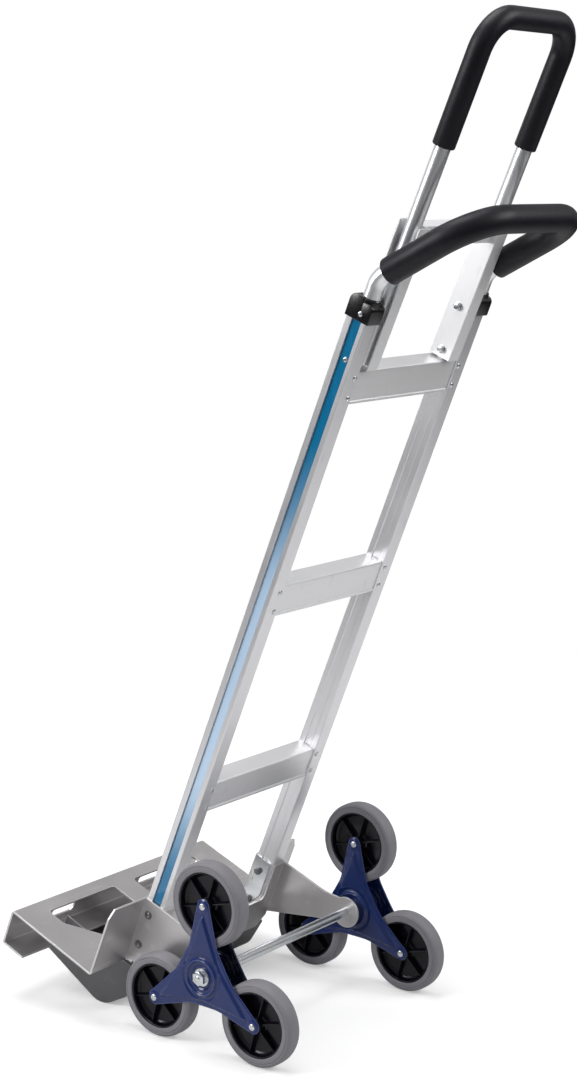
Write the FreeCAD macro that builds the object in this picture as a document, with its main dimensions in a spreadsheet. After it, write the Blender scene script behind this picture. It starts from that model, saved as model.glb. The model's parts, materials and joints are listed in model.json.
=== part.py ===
import FreeCAD, Part
import Sketcher
import math
import os
import re

# Stair-climbing hand truck: a leaned ladder frame on two three-wheeled stars.
# World frame: +Z up, X across the truck, the load plate towards -Y, the axle and handles
# towards +Y. The left side, as the user behind the truck sees it, is +X.
# Frame parts are drawn upright and then leaned back about the axle: in their own frame Z runs
# up the rails and Y is the rearward normal of the rails, both from the axle centre.

SIZES = {
    # stance
    "lean": 21.65,              # degrees that the frame leans back
    "arm_radius": 104.5,        # axle to wheel pin
    "wheel_diameter": 124.5,
    # rails, measured from the axle and the middle plane
    "rail_inner": 119.5,
    "rail_width": 26.0,
    "rail_depth": 33.5,
    "rail_rear": -134.0,
    "rail_bottom": -104.5,
    "rail_top": 973.0,
    "rail_wall": 2.0,
    "rail_edge": 1.5,
    "groove_depth": 3.0,
    "groove_width": 16.0,
    "groove_front": 10.0,
    "flute_depth": 1.2,
    "flute_width": 13.0,
    "flute_front": 10.0,
    "strip_thickness": 0.8,
    "strip_gap": 0.2,
    # rungs
    "rung_height": 48.0,
    "rung_inset": 1.0,
    "rung_wall": 2.0,
    "rung_edge": 2.0,
    "rung_lip": 1.5,
    "bottom_rung_top": 224.5,
    "rung_pitch": 329.0,
    "rivet_diameter": 5.0,
    "rivet_head": 8.0,
    "rivet_head_height": 1.4,
    "rivet_from_edge": 9.0,
    "rivet_from_inner": 8.0,
    # caps at the rail tops
    "cap_bottom": 953.0,
    "cap_top": 985.0,
    "cap_wall": 2.4,
    "cap_edge": 5.0,
    "cap_fit": 0.1,
    # loop handle
    "handle_line": -146.5,
    "loop_tube": 25.0,
    "loop_wall": 1.5,
    "loop_grip": 38.0,
    "loop_bend_height": 1014.0,
    "loop_angle": 41.0,
    "loop_reach": 170.0,
    "loop_corner": 66.0,
    "loop_bend": 36.0,
    "loop_grip_start": 18.0,
    # tall handle and its channels
    "extension_tilt": 1.5,      # degrees that the tall handle leans beyond the rails
    "channel_bottom": 886.0,
    "channel_top": 1092.0,
    "channel_inner": 88.0,
    "channel_depth": 36.0,
    "channel_reach": 24.0,
    "channel_wall": 2.0,
    "channel_edge": 1.2,
    "crossbar_height": 27.0,
    "crossbar_depth": 20.0,
    "crossbar_wall": 1.5,
    "tall_tube": 22.0,
    "tall_wall": 1.5,
    "tall_grip": 31.0,
    "tall_top": 1376.0,
    "tall_corner": 46.0,
    "tall_grip_start": 1200.0,
    "tall_tube_end": 890.0,
    "tube_gap": 0.1,
    "bolt_diameter": 6.0,
    "bolt_head": 10.0,
    "bolt_head_height": 4.0,
    "bolt_nut": 7.6,
    "bolt_fit": 0.1,
    "upper_bolt": 964.0,
    "lower_bolt": 897.0,
    # load plate
    "sheet": 3.0,
    "plate_half": 225.0,
    "plate_front": -339.0,
    "plate_top": -104.5,
    "front_drop": 60.0,
    "lip_depth": 44.0,
    "upright_top": 9.0,
    "upright_gap_above": 10.0,
    "wing_slant": 8.0,
    "sheet_bend": 4.5,
    "window_inner": 22.0,
    "window_outer": 172.0,
    "window_front": -312.0,
    "window_side": -278.0,
    "window_rear": -212.0,
    "window_rear_outer": 122.0,
    "window_edge": 8.0,
    "slot_middle": 102.0,
    "slot_width": 50.0,
    "slot_height": 15.0,
    "slot_drop": 36.0,
    # heel skid below the plate
    "skid_half": 148.5,
    "skid_sheet": 2.5,
    "skid_gap": 1.0,
    "skid_front": -334.0,
    "skid_front_drop": 70.0,
    "heel_back": -182.0,
    "heel_round": 40.0,
    "knee_back": -143.0,
    "skid_knee_drop": 157.0,
    "knee_round": 30.0,
    # axle carrier
    "bracket_sheet": 3.0,
    "bracket_eye": 24.0,
    "bracket_neck": 48.0,
    "bracket_neck_low": 18.0,
    "bracket_neck_height": 16.0,
    "bracket_top": 9.0,
    "carrier_bottom": -110.0,
    "carrier_notch": 18.0,
    "carrier_middle": -56.0,
    "carrier_horn": 24.0,
    "carrier_round": 8.0,
    "gusset_sheet": 3.0,
    "gusset_rear": -138.0,
    "gusset_bottom": -78.0,
    "gusset_slant": 16.0,
    "upper_rivet": -14.0,
    "lower_rivet": -67.0,
    "bracket_rivet_line": -154.5,
    "axle_diameter": 15.0,
    "axle_half": 207.0,
    "running_fit": 0.05,
    "spacer_diameter": 24.0,
    "side_gap": 0.5,
    "nut_flats": 19.0,
    "nut_height": 8.0,
    "washer_diameter": 26.0,
    "washer_thickness": 2.0,
    # stars
    "star_inner": 166.5,
    "star_sheet": 2.5,
    "star_inside": 31.5,
    "arm_root": 30.0,
    "arm_tip": 9.0,
    "hub_ring": 25.0,
    "hub_ring_height": 5.0,
    "hub_recess": 17.0,
    "ridge_height": 3.5,
    "ridge_root": 13.0,
    "ridge_tip": 3.0,
    "ridge_end": 86.0,
    "sleeve_diameter": 23.0,
    "pin_diameter": 8.0,
    "pin_head": 13.0,
    "pin_head_height": 2.2,
    # wheels
    "tyre_width": 27.0,
    "tyre_inner": 96.0,
    "tyre_round": 7.0,
    "rim_width": 25.0,
    "rim_wall": 3.0,
    "rim_web": 4.0,
    "rim_hub": 22.0,
    "rim_hub_width": 30.5,
    "rim_ribs": 6,
    "rib_thickness": 3.0,
    "rib_width": 18.0,
}

doc = FreeCAD.newDocument("HandTruck")
sheet = doc.addObject("Spreadsheet::Sheet", "Dims")
for row, (alias, number) in enumerate(SIZES.items(), start=1):
    sheet.set(f"A{row}", alias)
    sheet.set(f"B{row}", str(number))
    sheet.setAlias(f"B{row}", alias)
doc.recompute()

parts = []
WORD = re.compile(r"[a-z][a-z_0-9]+")
FUNCTIONS = {"tan", "sin", "cos", "deg"}


def on_sheet(expression):
    """The same expression with each alias written as a cell of the sheet."""
    def named(hit):
        return hit.group() if hit.group() in FUNCTIONS else "Dims." + hit.group()

    return WORD.sub(named, str(expression))


def size(expression):
    """Number that an expression on the sheet's aliases gives."""
    result = sheet.evalExpression(on_sheet(expression))
    return float(getattr(result, "Value", result))


def point(*expressions):
    return FreeCAD.Vector(*[size(each) for each in expressions])


# Placements --------------------------------------------------------------------------------

AXLE = FreeCAD.Placement(point("0", "0", "arm_radius / 2 + wheel_diameter / 2"), FreeCAD.Rotation())
LEANED = FreeCAD.Placement(AXLE.Base, FreeCAD.Rotation(FreeCAD.Vector(1, 0, 0), -size("lean")))
# The tall handle with its channels turns a little further back about its lower bolt.
EXTENDED = LEANED.multiply(FreeCAD.Placement(
    FreeCAD.Vector(), FreeCAD.Rotation(FreeCAD.Vector(1, 0, 0), -size("extension_tilt")),
    point("0", "handle_line", "lower_bolt")))


def keep(item, name, place):
    """Register a finished sub-part: its label names its file, its placement puts it on the truck."""
    item.Label = name
    item.Placement = place.multiply(item.Placement)
    parts.append(item)
    return item


# Part primitives bound to the sheet ---------------------------------------------------------

def bind(item, **expressions):
    for name, expression in expressions.items():
        item.setExpression(name.replace("__", "."), on_sheet(expression))
    return item


def box(name, low, high):
    """Part::Box between two corners, each given as three expressions."""
    item = doc.addObject("Part::Box", name)
    bind(item, Length=f"({high[0]}) - ({low[0]})", Width=f"({high[1]}) - ({low[1]})",
         Height=f"({high[2]}) - ({low[2]})", Placement__Base__x=low[0], Placement__Base__y=low[1],
         Placement__Base__z=low[2])
    return item


AXES = {
    "x": FreeCAD.Rotation(FreeCAD.Vector(0, 1, 0), 90),
    "y": FreeCAD.Rotation(FreeCAD.Vector(1, 0, 0), -90),
    "z": FreeCAD.Rotation(),
}


def rod(name, start, length, diameter, axis="x"):
    """Part::Cylinder from a start point along a positive axis."""
    item = doc.addObject("Part::Cylinder", name)
    item.Placement = FreeCAD.Placement(FreeCAD.Vector(), AXES[axis])
    bind(item, Radius=f"({diameter}) / 2", Height=length, Placement__Base__x=start[0],
         Placement__Base__y=start[1], Placement__Base__z=start[2])
    return item


def hexagon(name, start, length, flats):
    """Part::Prism with six sides along +X."""
    item = doc.addObject("Part::Prism", name)
    item.Polygon = 6
    item.Placement = FreeCAD.Placement(FreeCAD.Vector(), AXES["x"])
    bind(item, Circumradius=f"({flats}) / (2 * cos(30 deg))", Height=length, Placement__Base__x=start[0],
         Placement__Base__y=start[1], Placement__Base__z=start[2])
    return item


def fused(name, items):
    item = doc.addObject("Part::MultiFuse", name)
    item.Shapes = items
    item.Refine = True
    return item


def minus(name, base, tools):
    item = doc.addObject("Part::Cut", name)
    item.Base = base
    item.Tool = tools[0] if len(tools) == 1 else group(name + "_tools", tools)
    item.Refine = True
    return item


def group(name, items):
    item = doc.addObject("Part::Compound", name)
    item.Links = items
    return item


# PartDesign bodies --------------------------------------------------------------------------

def new_body(name):
    return doc.addObject("PartDesign::Body", name)


def sketch_on(body, name, role, offset=None):
    """Sketch on one of the body's own origin planes, moved along its normal by an expression."""
    plane = [each for each in body.Origin.OriginFeatures if each.Role == role][0]
    sketch = body.newObject("Sketcher::SketchObject", name)
    sketch.AttachmentSupport = (plane, [""])
    sketch.MapMode = "FlatFace"
    if offset:
        sketch.setExpression("AttachmentOffset.Base.z", on_sheet(offset))
    return sketch


def pin_vertex(sketch, line, end, place):
    """Fix one end of a line at two expressions from the sketch's origin."""
    for kind, expression in (("DistanceX", place[0]), ("DistanceY", place[1])):
        row = sketch.addConstraint(Sketcher.Constraint(kind, -1, 1, line, end, size(expression)))
        sketch.setExpression(f"Constraints[{row}]", on_sheet(expression))


def outline(sketch, corners):
    """Closed run of straight lines through corners given as pairs of expressions."""
    places = [point(x, y, "0") for x, y in corners]
    lines = []
    for here, there in zip(places, places[1:] + places[:1]):
        lines.append(sketch.addGeometry(Part.LineSegment(here, there), False))
    for number, line in enumerate(lines):
        sketch.addConstraint(Sketcher.Constraint("Coincident", line, 2, lines[(number + 1) % len(lines)], 1))
    for line, corner in zip(lines, corners):
        pin_vertex(sketch, line, 1, corner)


def circles(sketch, places, diameter):
    """Circles of one diameter at pairs of expressions."""
    for place in places:
        centre = point(place[0], place[1], "0")
        curve = Part.Circle(centre, FreeCAD.Vector(0, 0, 1), size(f"({diameter}) / 2"))
        circle = sketch.addGeometry(curve, False)
        pin_vertex(sketch, circle, 3, place)
        row = sketch.addConstraint(Sketcher.Constraint("Diameter", circle, size(diameter)))
        sketch.setExpression(f"Constraints[{row}]", on_sheet(diameter))


def pad(body, sketch, length, flip=False):
    item = body.newObject("PartDesign::Pad", sketch.Name + "_pad")
    item.Profile = sketch
    item.Reversed = flip
    item.setExpression("Length", on_sheet(length))
    return item


def pocket(body, sketch, length, flip=False):
    """Cut a sketch out of the body and check that the cut removed something."""
    before = body.Tip
    doc.recompute()
    volume = before.Shape.Volume
    item = body.newObject("PartDesign::Pocket", sketch.Name + "_pocket")
    item.Profile = sketch
    item.Reversed = flip
    item.setExpression("Length", on_sheet(length))
    doc.recompute()
    if item.Shape.Volume > volume - 1e-3:
        raise ValueError(f"{item.Name} cuts nothing")
    return item


def polar(body, features, count, role="Z_Axis"):
    """PolarPattern of features about one of the body's origin axes."""
    axis = [each for each in body.Origin.OriginFeatures if each.Role == role][0]
    item = body.newObject("PartDesign::PolarPattern", features[0].Name + "_around")
    item.Originals = features
    item.Axis = (axis, [""])
    item.Angle = 360
    item.setExpression("Occurrences", on_sheet(count))
    body.Tip = item
    return item


def round_edges(body, name, radius, wanted):
    """PartDesign::Fillet on every edge of the tip for which wanted(edge) holds."""
    doc.recompute()
    base = body.Tip
    names = [f"Edge{number}" for number, edge in enumerate(base.Shape.Edges, start=1) if wanted(edge)]
    item = body.newObject("PartDesign::Fillet", name)
    item.Base = (base, names)
    item.setExpression("Radius", on_sheet(radius))
    return item


def runs_along(edge, direction):
    """True for a straight edge parallel to a direction."""
    if not isinstance(edge.Curve, Part.Line):
        return False
    return abs(abs(edge.Curve.Direction.dot(direction)) - 1) < 1e-6


ACROSS = FreeCAD.Vector(1, 0, 0)
UPWARD = FreeCAD.Vector(0, 0, 1)
SIDES = {"left": 1, "right": -1}


# Shapes that bend: tubes, grips and folded sheet ---------------------------------------------

def shaped(name, shape):
    """Part::Feature that holds a shape made from sizes on the sheet."""
    item = doc.addObject("Part::Feature", name)
    item.Shape = shape
    return item


def rounded_path(corners, radii):
    """Wire of straight runs joined by tangent arcs, one radius for each inner corner."""
    edges = []
    start = corners[0]
    for before, corner, after, radius in zip(corners, corners[1:], corners[2:], radii):
        into = (corner - before).normalize()
        out = (after - corner).normalize()
        turn = into.getAngle(out)
        reach = radius * math.tan(turn / 2)
        first = corner - into * reach
        last = corner + out * reach
        bow = (out - into).normalize()
        middle = corner + bow * (radius / math.cos(turn / 2) - radius)
        edges.append(Part.LineSegment(start, first).toShape())
        edges.append(Part.Arc(first, middle, last).toShape())
        start = last
    edges.append(Part.LineSegment(start, corners[-1]).toShape())
    return Part.Wire(edges)


def swept(path, diameter):
    """Round bar of one diameter along a path."""
    first = path.Edges[0]
    begin = first.Vertexes[0].Point
    circle = Part.makeCircle(diameter / 2, begin, first.tangentAt(first.FirstParameter))
    return path.makePipeShell([Part.Wire([circle])], True, False)


def tube(path, outer, inner):
    """Round tube along a path."""
    return swept(path, outer).cut(swept(path, inner))


def folded(corners, radii, thickness, low, high):
    """Bent sheet: a profile in the Y-Z plane, thickened on one side and pulled along X."""
    path = rounded_path(corners, radii)
    strip = path.makeOffset2D(thickness, fill=True, openResult=True, join=0)
    strip.translate(FreeCAD.Vector(low, 0, 0))
    return strip.extrude(FreeCAD.Vector(high - low, 0, 0))


def prism_x(corners, low, high):
    """Flat plate normal to X from pairs of (y, z)."""
    places = [FreeCAD.Vector(low, y, z) for y, z in corners]
    face = Part.Face(Part.makePolygon(places + places[:1]))
    return face.extrude(FreeCAD.Vector(high - low, 0, 0))


# Rails --------------------------------------------------------------------------------------

RIVET_HEIGHTS = []
for level in range(3):
    top = f"bottom_rung_top + {level} * rung_pitch"
    RIVET_HEIGHTS += [f"{top} - rivet_from_edge", f"{top} - rung_height + rivet_from_edge"]
BOLT_HEIGHTS = ["upper_bolt", "lower_bolt"]
UPPER_LINE = "handle_line + (upper_bolt - lower_bolt) * sin(extension_tilt * 1 deg)"
BRACKET_HEIGHTS = ["upper_rivet", "lower_rivet"]


def across_holes(name, side, low, high, line, heights, diameter):
    """Holes along X through the parts on one side, between two distances from the middle."""
    start = low if side > 0 else f"-({high})"
    return [
        rod(f"{name}_{number}", (start, line, height), f"({high}) - ({low})", diameter)
        for number, height in enumerate(heights)
    ]


def build_rail(word, side):
    body = new_body(f"{word}_rail_body")
    profile = sketch_on(body, f"{word}_rail_profile", "XY_Plane", "rail_bottom")
    front = "rail_rear - rail_depth"
    inner = "rail_inner"
    outer = "rail_inner + rail_width"
    corners = [
        (inner, "rail_rear"),
        (inner, f"{front} + flute_front + flute_width"),
        (f"{inner} + flute_depth", f"{front} + flute_front + flute_width - flute_depth"),
        (f"{inner} + flute_depth", f"{front} + flute_front + flute_depth"),
        (inner, f"{front} + flute_front"),
        (inner, front),
        (outer, front),
        (outer, f"{front} + groove_front"),
        (f"{outer} - groove_depth", f"{front} + groove_front"),
        (f"{outer} - groove_depth", f"{front} + groove_front + groove_width"),
        (outer, f"{front} + groove_front + groove_width"),
        (outer, "rail_rear"),
    ]
    outline(profile, [(f"{side} * ({x})", y) for x, y in corners])
    pad(body, profile, "rail_top - rail_bottom")
    hollow = sketch_on(body, f"{word}_rail_hollow", "XY_Plane", "rail_bottom")
    low = "rail_inner + rail_wall + flute_depth"
    high = "rail_inner + rail_width - rail_wall - groove_depth"
    back = "rail_rear - rail_wall"
    fore = f"{front} + rail_wall"
    inside = ((low, fore), (high, fore), (high, back), (low, back))
    outline(hollow, [(f"{side} * ({x})", y) for x, y in inside])
    pocket(body, hollow, "rail_top - rail_bottom", flip=True)
    corner_x = {round(side * size(x), 3) for x in (inner, outer)}
    corner_y = {round(size(y), 3) for y in (front, "rail_rear")}

    def outer_corner(edge):
        spot = edge.Vertexes[0].Point
        return runs_along(edge, UPWARD) and round(spot.x, 3) in corner_x and round(spot.y, 3) in corner_y

    round_edges(body, f"{word}_rail_edges", "rail_edge", outer_corner)
    rivet_line = f"{side} * (rail_inner + rivet_from_inner)"
    holes = [
        rod(f"{word}_rail_rivet_{number}", (rivet_line, "rail_rear - rail_wall - 1", height),
            "rail_wall + 2", "rivet_diameter", "y")
        for number, height in enumerate(RIVET_HEIGHTS)
    ]
    bolt_hole = "bolt_diameter + 2 * bolt_fit"
    for line, height in ((UPPER_LINE, "upper_bolt"), ("handle_line", "lower_bolt")):
        holes += across_holes(f"{word}_rail_{height}", side, "rail_inner - 1", "rail_inner + rail_width + 1",
                              line, [height], bolt_hole)
    holes += across_holes(f"{word}_rail_foot", side, "rail_inner - 1", "rail_inner + rail_width + 1",
                          "bracket_rivet_line", BRACKET_HEIGHTS, bolt_hole)
    keep(minus(f"{word}_rail_cut", body, holes), f"{word}_rail", LEANED)


def build_strip(word, side):
    """Coloured strip that lies in the rail's outer groove, between the bracket and the cap."""
    floor_x = "rail_inner + rail_width - groove_depth"
    high_x = f"{floor_x} + strip_thickness"
    low_y = "rail_rear - rail_depth + groove_front + strip_gap"
    high_y = "rail_rear - rail_depth + groove_front + groove_width - strip_gap"
    near, far = (floor_x, high_x) if side > 0 else (f"-({high_x})", f"-({floor_x})")
    strip = box(f"{word}_strip_blank", (near, low_y, "bracket_top + strip_gap"),
                (far, high_y, "cap_bottom - strip_gap"))
    hole = across_holes(f"{word}_strip_hole", side, "rail_inner", "rail_inner + rail_width + 1",
                        "handle_line", ["lower_bolt"], "bolt_diameter + 2 * bolt_fit")
    keep(minus(f"{word}_strip_cut", strip, hole), f"{word}_rail_stripe", LEANED)


for word, side in SIDES.items():
    build_rail(word, side)
    build_strip(word, side)


# Rungs and their rivets ---------------------------------------------------------------------

def build_rung(name, level):
    """Hollow rung with a small lip along the bottom of its rear face."""
    top = f"bottom_rung_top + {level} * rung_pitch"
    low = f"{top} - rung_height"
    rear = "rail_rear - rung_inset"
    front = "rail_rear - rail_depth + rung_inset"
    body = new_body(f"{name}_body")
    profile = sketch_on(body, f"{name}_profile", "YZ_Plane", "-rail_inner")
    outline(profile, [(front, low), (rear, low), (rear, f"{low} + 2 * rung_lip"),
                      (f"{rear} - rung_lip", f"{low} + 3 * rung_lip"), (f"{rear} - rung_lip", top),
                      (front, top)])
    pad(body, profile, "2 * rail_inner")
    hollow = sketch_on(body, f"{name}_hollow", "YZ_Plane", "-rail_inner")
    inner_rear = f"{rear} - rung_lip - rung_wall"
    outline(hollow, [(f"{front} + rung_wall", f"{low} + rung_wall"), (inner_rear, f"{low} + rung_wall"),
                     (inner_rear, f"{top} - rung_wall"), (f"{front} + rung_wall", f"{top} - rung_wall")])
    pocket(body, hollow, "2 * rail_inner", flip=True)
    high = size(top)

    def top_edge(edge):
        spot = edge.Vertexes[0].Point
        return runs_along(edge, ACROSS) and abs(spot.z - high) < 1e-3

    round_edges(body, f"{name}_edges", "rung_edge", top_edge)
    keep(body, name, LEANED)


def rivet(name, x, y, z, shank):
    """Pop rivet along Y: a dished head on the rear face and a shank through the wall."""
    head = doc.addObject("Part::Cone", name + "_head")
    head.Placement = FreeCAD.Placement(FreeCAD.Vector(), AXES["y"])
    bind(head, Radius1="rivet_head / 2", Radius2="rivet_diameter / 2", Height="rivet_head_height",
         Placement__Base__x=x, Placement__Base__y=y, Placement__Base__z=z)
    stem = rod(name + "_stem", (x, f"({y}) - ({shank})", z), shank, "rivet_diameter", "y")
    return fused(name, [head, stem])


for level, name in enumerate(("bottom_rung", "middle_rung", "top_rung")):
    build_rung(name, level)

rung_rivets = []
for word, side in SIDES.items():
    for number, height in enumerate(RIVET_HEIGHTS):
        rung_rivets.append(rivet(f"{word}_rung_rivet_{number}", f"{side} * (rail_inner + rivet_from_inner)",
                                 "rail_rear", height, "rail_wall"))
keep(group("rung_rivet_set", rung_rivets), "rung_rivets", LEANED)


# Loop handle and the caps that hold it ------------------------------------------------------

CAP_INNER = "rail_inner - cap_wall + rail_edge / 3"
CAP_OUTER = "rail_inner + rail_width + cap_wall"
CAP_FRONT = "rail_rear - rail_depth - cap_wall"
CAP_REAR = "handle_line + loop_tube / 2 + 2 * cap_wall"
LOOP_X = "rail_inner + rail_width / 2"


def build_cap(word, side):
    """Moulded cap: the rail end fits its lower socket and the handle tube its upper one."""
    low, high = (CAP_INNER, CAP_OUTER) if side > 0 else (f"-({CAP_OUTER})", f"-({CAP_INNER})")
    block = box(f"{word}_cap_block", (low, CAP_FRONT, "cap_bottom"), (high, CAP_REAR, "cap_top"))
    doc.recompute()
    rounded = doc.addObject("Part::Fillet", f"{word}_cap_rounded")
    rounded.Base = block
    top = size("cap_top")
    radius = size("cap_edge")
    rounded.Edges = [
        (number, radius, radius)
        for number, edge in enumerate(block.Shape.Edges, start=1)
        if min(vertex.Z for vertex in edge.Vertexes) > top - 1e-3
    ]
    rail_low = "rail_inner - cap_fit"
    rail_high = "rail_inner + rail_width + cap_fit"
    near, far = (rail_low, rail_high) if side > 0 else (f"-({rail_high})", f"-({rail_low})")
    socket = box(f"{word}_cap_socket", (near, "rail_rear - rail_depth - cap_fit", "cap_bottom - 1"),
                 (far, "rail_rear + cap_fit", "rail_top"))
    seat = rod(f"{word}_cap_seat", (f"{side} * ({LOOP_X})", "handle_line", "rail_top"),
               "cap_top - rail_top + 1", "loop_tube", "z")
    hole = across_holes(f"{word}_cap_hole", side, "rail_inner - 2 * cap_wall",
                        "rail_inner + rail_width + 2 * cap_wall", UPPER_LINE, ["upper_bolt"],
                        "bolt_diameter + 2 * bolt_fit")
    keep(minus(f"{word}_cap_cut", rounded, [socket, seat] + hole), f"{word}_top_cap", LEANED)


for word, side in SIDES.items():
    build_cap(word, side)

angle = math.radians(size("loop_angle"))
reach = size("loop_reach")
bend = point("0", "handle_line", "loop_bend_height")
far_bend = bend + FreeCAD.Vector(0, math.sin(angle), math.cos(angle)) * reach
side_x = size(LOOP_X)
loop_corners = [
    FreeCAD.Vector(side_x, bend.y, size("rail_top")),
    FreeCAD.Vector(side_x, bend.y, bend.z),
    FreeCAD.Vector(side_x, far_bend.y, far_bend.z),
    FreeCAD.Vector(-side_x, far_bend.y, far_bend.z),
    FreeCAD.Vector(-side_x, bend.y, bend.z),
    FreeCAD.Vector(-side_x, bend.y, size("rail_top")),
]
loop_radii = [size(each) for each in ("loop_bend", "loop_corner", "loop_corner", "loop_bend")]
loop_path = rounded_path(loop_corners, loop_radii)
loop_tube = tube(loop_path, size("loop_tube"), size("loop_tube - 2 * loop_wall"))
keep(shaped("loop_tube_shape", loop_tube), "loop_handle_tube", LEANED)

grip_start = bend + (far_bend - bend).normalize() * size("loop_grip_start")
grip_end = FreeCAD.Vector(-side_x, grip_start.y, grip_start.z)
grip_begin = FreeCAD.Vector(side_x, grip_start.y, grip_start.z)
loop_grip_path = rounded_path([grip_begin] + loop_corners[2:4] + [grip_end], loop_radii[1:3])
loop_grip = tube(loop_grip_path, size("loop_grip"), size("loop_tube"))
keep(shaped("loop_grip_shape", loop_grip), "loop_handle_grip", LEANED)


# Tall handle, its channels and crossbar -----------------------------------------------------

TALL_X = "channel_inner + channel_wall + tall_tube / 2 + tube_gap"


def build_channel(word, side):
    """Channel that holds one leg of the tall handle against the rail; its web faces inwards."""
    body = new_body(f"{word}_channel_body")
    profile = sketch_on(body, f"{word}_channel_profile", "XY_Plane", "channel_bottom")
    front = "handle_line - channel_depth / 2"
    rear = "handle_line + channel_depth / 2"
    web = "channel_inner + channel_wall"
    edge = "channel_inner + channel_reach"
    corners = [
        ("channel_inner", front),
        (edge, front),
        (edge, f"{front} + channel_wall"),
        (web, f"{front} + channel_wall"),
        (web, f"{rear} - channel_wall"),
        (edge, f"{rear} - channel_wall"),
        (edge, rear),
        ("channel_inner", rear),
    ]
    outline(profile, [(f"{side} * ({x})", y) for x, y in corners])
    pad(body, profile, "channel_top - channel_bottom")
    inner = round(side * size("channel_inner"), 3)

    def web_corner(edge):
        return runs_along(edge, UPWARD) and round(edge.Vertexes[0].Point.x, 3) == inner

    round_edges(body, f"{word}_channel_edges", "channel_edge", web_corner)
    holes = across_holes(f"{word}_channel_hole", side, "channel_inner - 1", "rail_inner + 1",
                         "handle_line", BOLT_HEIGHTS, "bolt_diameter + 2 * bolt_fit")
    keep(minus(f"{word}_channel_cut", body, holes), f"{word}_extension_channel", EXTENDED)


for word, side in SIDES.items():
    build_channel(word, side)

crossbar_low = ("-channel_inner", "handle_line - crossbar_depth / 2", "channel_top - crossbar_height")
crossbar_high = ("channel_inner", "handle_line + crossbar_depth / 2", "channel_top")
crossbar_blank = box("crossbar_blank", crossbar_low, crossbar_high)
crossbar_hollow = box(
    "crossbar_hollow",
    ("-channel_inner - 1", f"{crossbar_low[1]} + crossbar_wall", f"{crossbar_low[2]} + crossbar_wall"),
    ("channel_inner + 1", f"{crossbar_high[1]} - crossbar_wall", f"{crossbar_high[2]} - crossbar_wall"),
)
keep(minus("crossbar_cut", crossbar_blank, [crossbar_hollow]), "extension_crossbar", EXTENDED)

leg_x = size(TALL_X)
line_y = size("handle_line")
tall_corners = [
    FreeCAD.Vector(leg_x, line_y, size("tall_tube_end")),
    FreeCAD.Vector(leg_x, line_y, size("tall_top")),
    FreeCAD.Vector(-leg_x, line_y, size("tall_top")),
    FreeCAD.Vector(-leg_x, line_y, size("tall_tube_end")),
]
tall_radii = [size("tall_corner")] * 2
tall_path = rounded_path(tall_corners, tall_radii)
tall_shape = tube(tall_path, size("tall_tube"), size("tall_tube - 2 * tall_wall"))
for side in SIDES.values():
    for height in BOLT_HEIGHTS:
        start = FreeCAD.Vector(side * (leg_x - size("tall_tube")), line_y, size(height))
        hole = Part.makeCylinder(size("bolt_diameter / 2 + bolt_fit"), size("2 * tall_tube"), start,
                                 ACROSS * side)
        tall_shape = tall_shape.cut(hole)
keep(shaped("tall_tube_shape", tall_shape), "tall_handle_tube", EXTENDED)

tall_grip_corners = [FreeCAD.Vector(each) for each in tall_corners]
tall_grip_corners[0].z = size("tall_grip_start")
tall_grip_corners[-1].z = size("tall_grip_start")
tall_grip = tube(rounded_path(tall_grip_corners, tall_radii), size("tall_grip"), size("tall_tube"))
keep(shaped("tall_grip_shape", tall_grip), "tall_handle_grip", EXTENDED)


def side_bolt(name, side, head_x, nut_x, line, height):
    """Bolt along X: head towards the middle at head_x, round nut outside at nut_x."""
    def at(x):
        return (f"{side} * ({x})", line, height)

    reversed_run = side < 0
    head_start = f"{head_x} - bolt_head_height" if not reversed_run else head_x
    nut_start = nut_x if not reversed_run else f"{nut_x} + bolt_head_height"
    shank_start = head_x if not reversed_run else nut_x
    head = hexagon(name + "_head", at(head_start), "bolt_head_height", "bolt_head")
    nut = rod(name + "_nut", at(nut_start), "bolt_head_height", "bolt_nut")
    shank = rod(name + "_shank", at(shank_start), f"({nut_x}) - ({head_x})", "bolt_diameter")
    return fused(name, [head, nut, shank])


# The lower bolt's nut sits in the rail's groove and the upper one's on the cap.
extension_bolts = []
for word, side in SIDES.items():
    extension_bolts.append(side_bolt(f"{word}_upper_bolt", side, "channel_inner", CAP_OUTER,
                                     "handle_line", "upper_bolt"))
    extension_bolts.append(side_bolt(f"{word}_lower_bolt", side, "channel_inner",
                                     "rail_inner + rail_width - groove_depth + strip_thickness",
                                     "handle_line", "lower_bolt"))
keep(group("extension_bolt_set", extension_bolts), "extension_bolts", EXTENDED)


# Load plate ---------------------------------------------------------------------------------

plate_top = size("plate_top")
thickness = size("sheet")
plate_half = size("plate_half")
front_y = size("plate_front")
upright_y = size("rail_rear - rail_depth")
drop_z = plate_top - size("front_drop")
# The profile runs along the sheet's inner face; the sheet's thickness is added outside it.
plate_profile = [
    FreeCAD.Vector(0, front_y + size("lip_depth"), drop_z + thickness),
    FreeCAD.Vector(0, front_y + thickness, drop_z + thickness),
    FreeCAD.Vector(0, front_y + thickness, plate_top - thickness),
    FreeCAD.Vector(0, upright_y, plate_top - thickness),
    FreeCAD.Vector(0, upright_y, size("upright_top")),
]
bend_radius = size("sheet_bend")
plate_path_radii = [bend_radius - thickness, bend_radius - thickness, bend_radius]
plate = folded(plate_profile, plate_path_radii, -thickness, -plate_half, plate_half)


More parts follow.
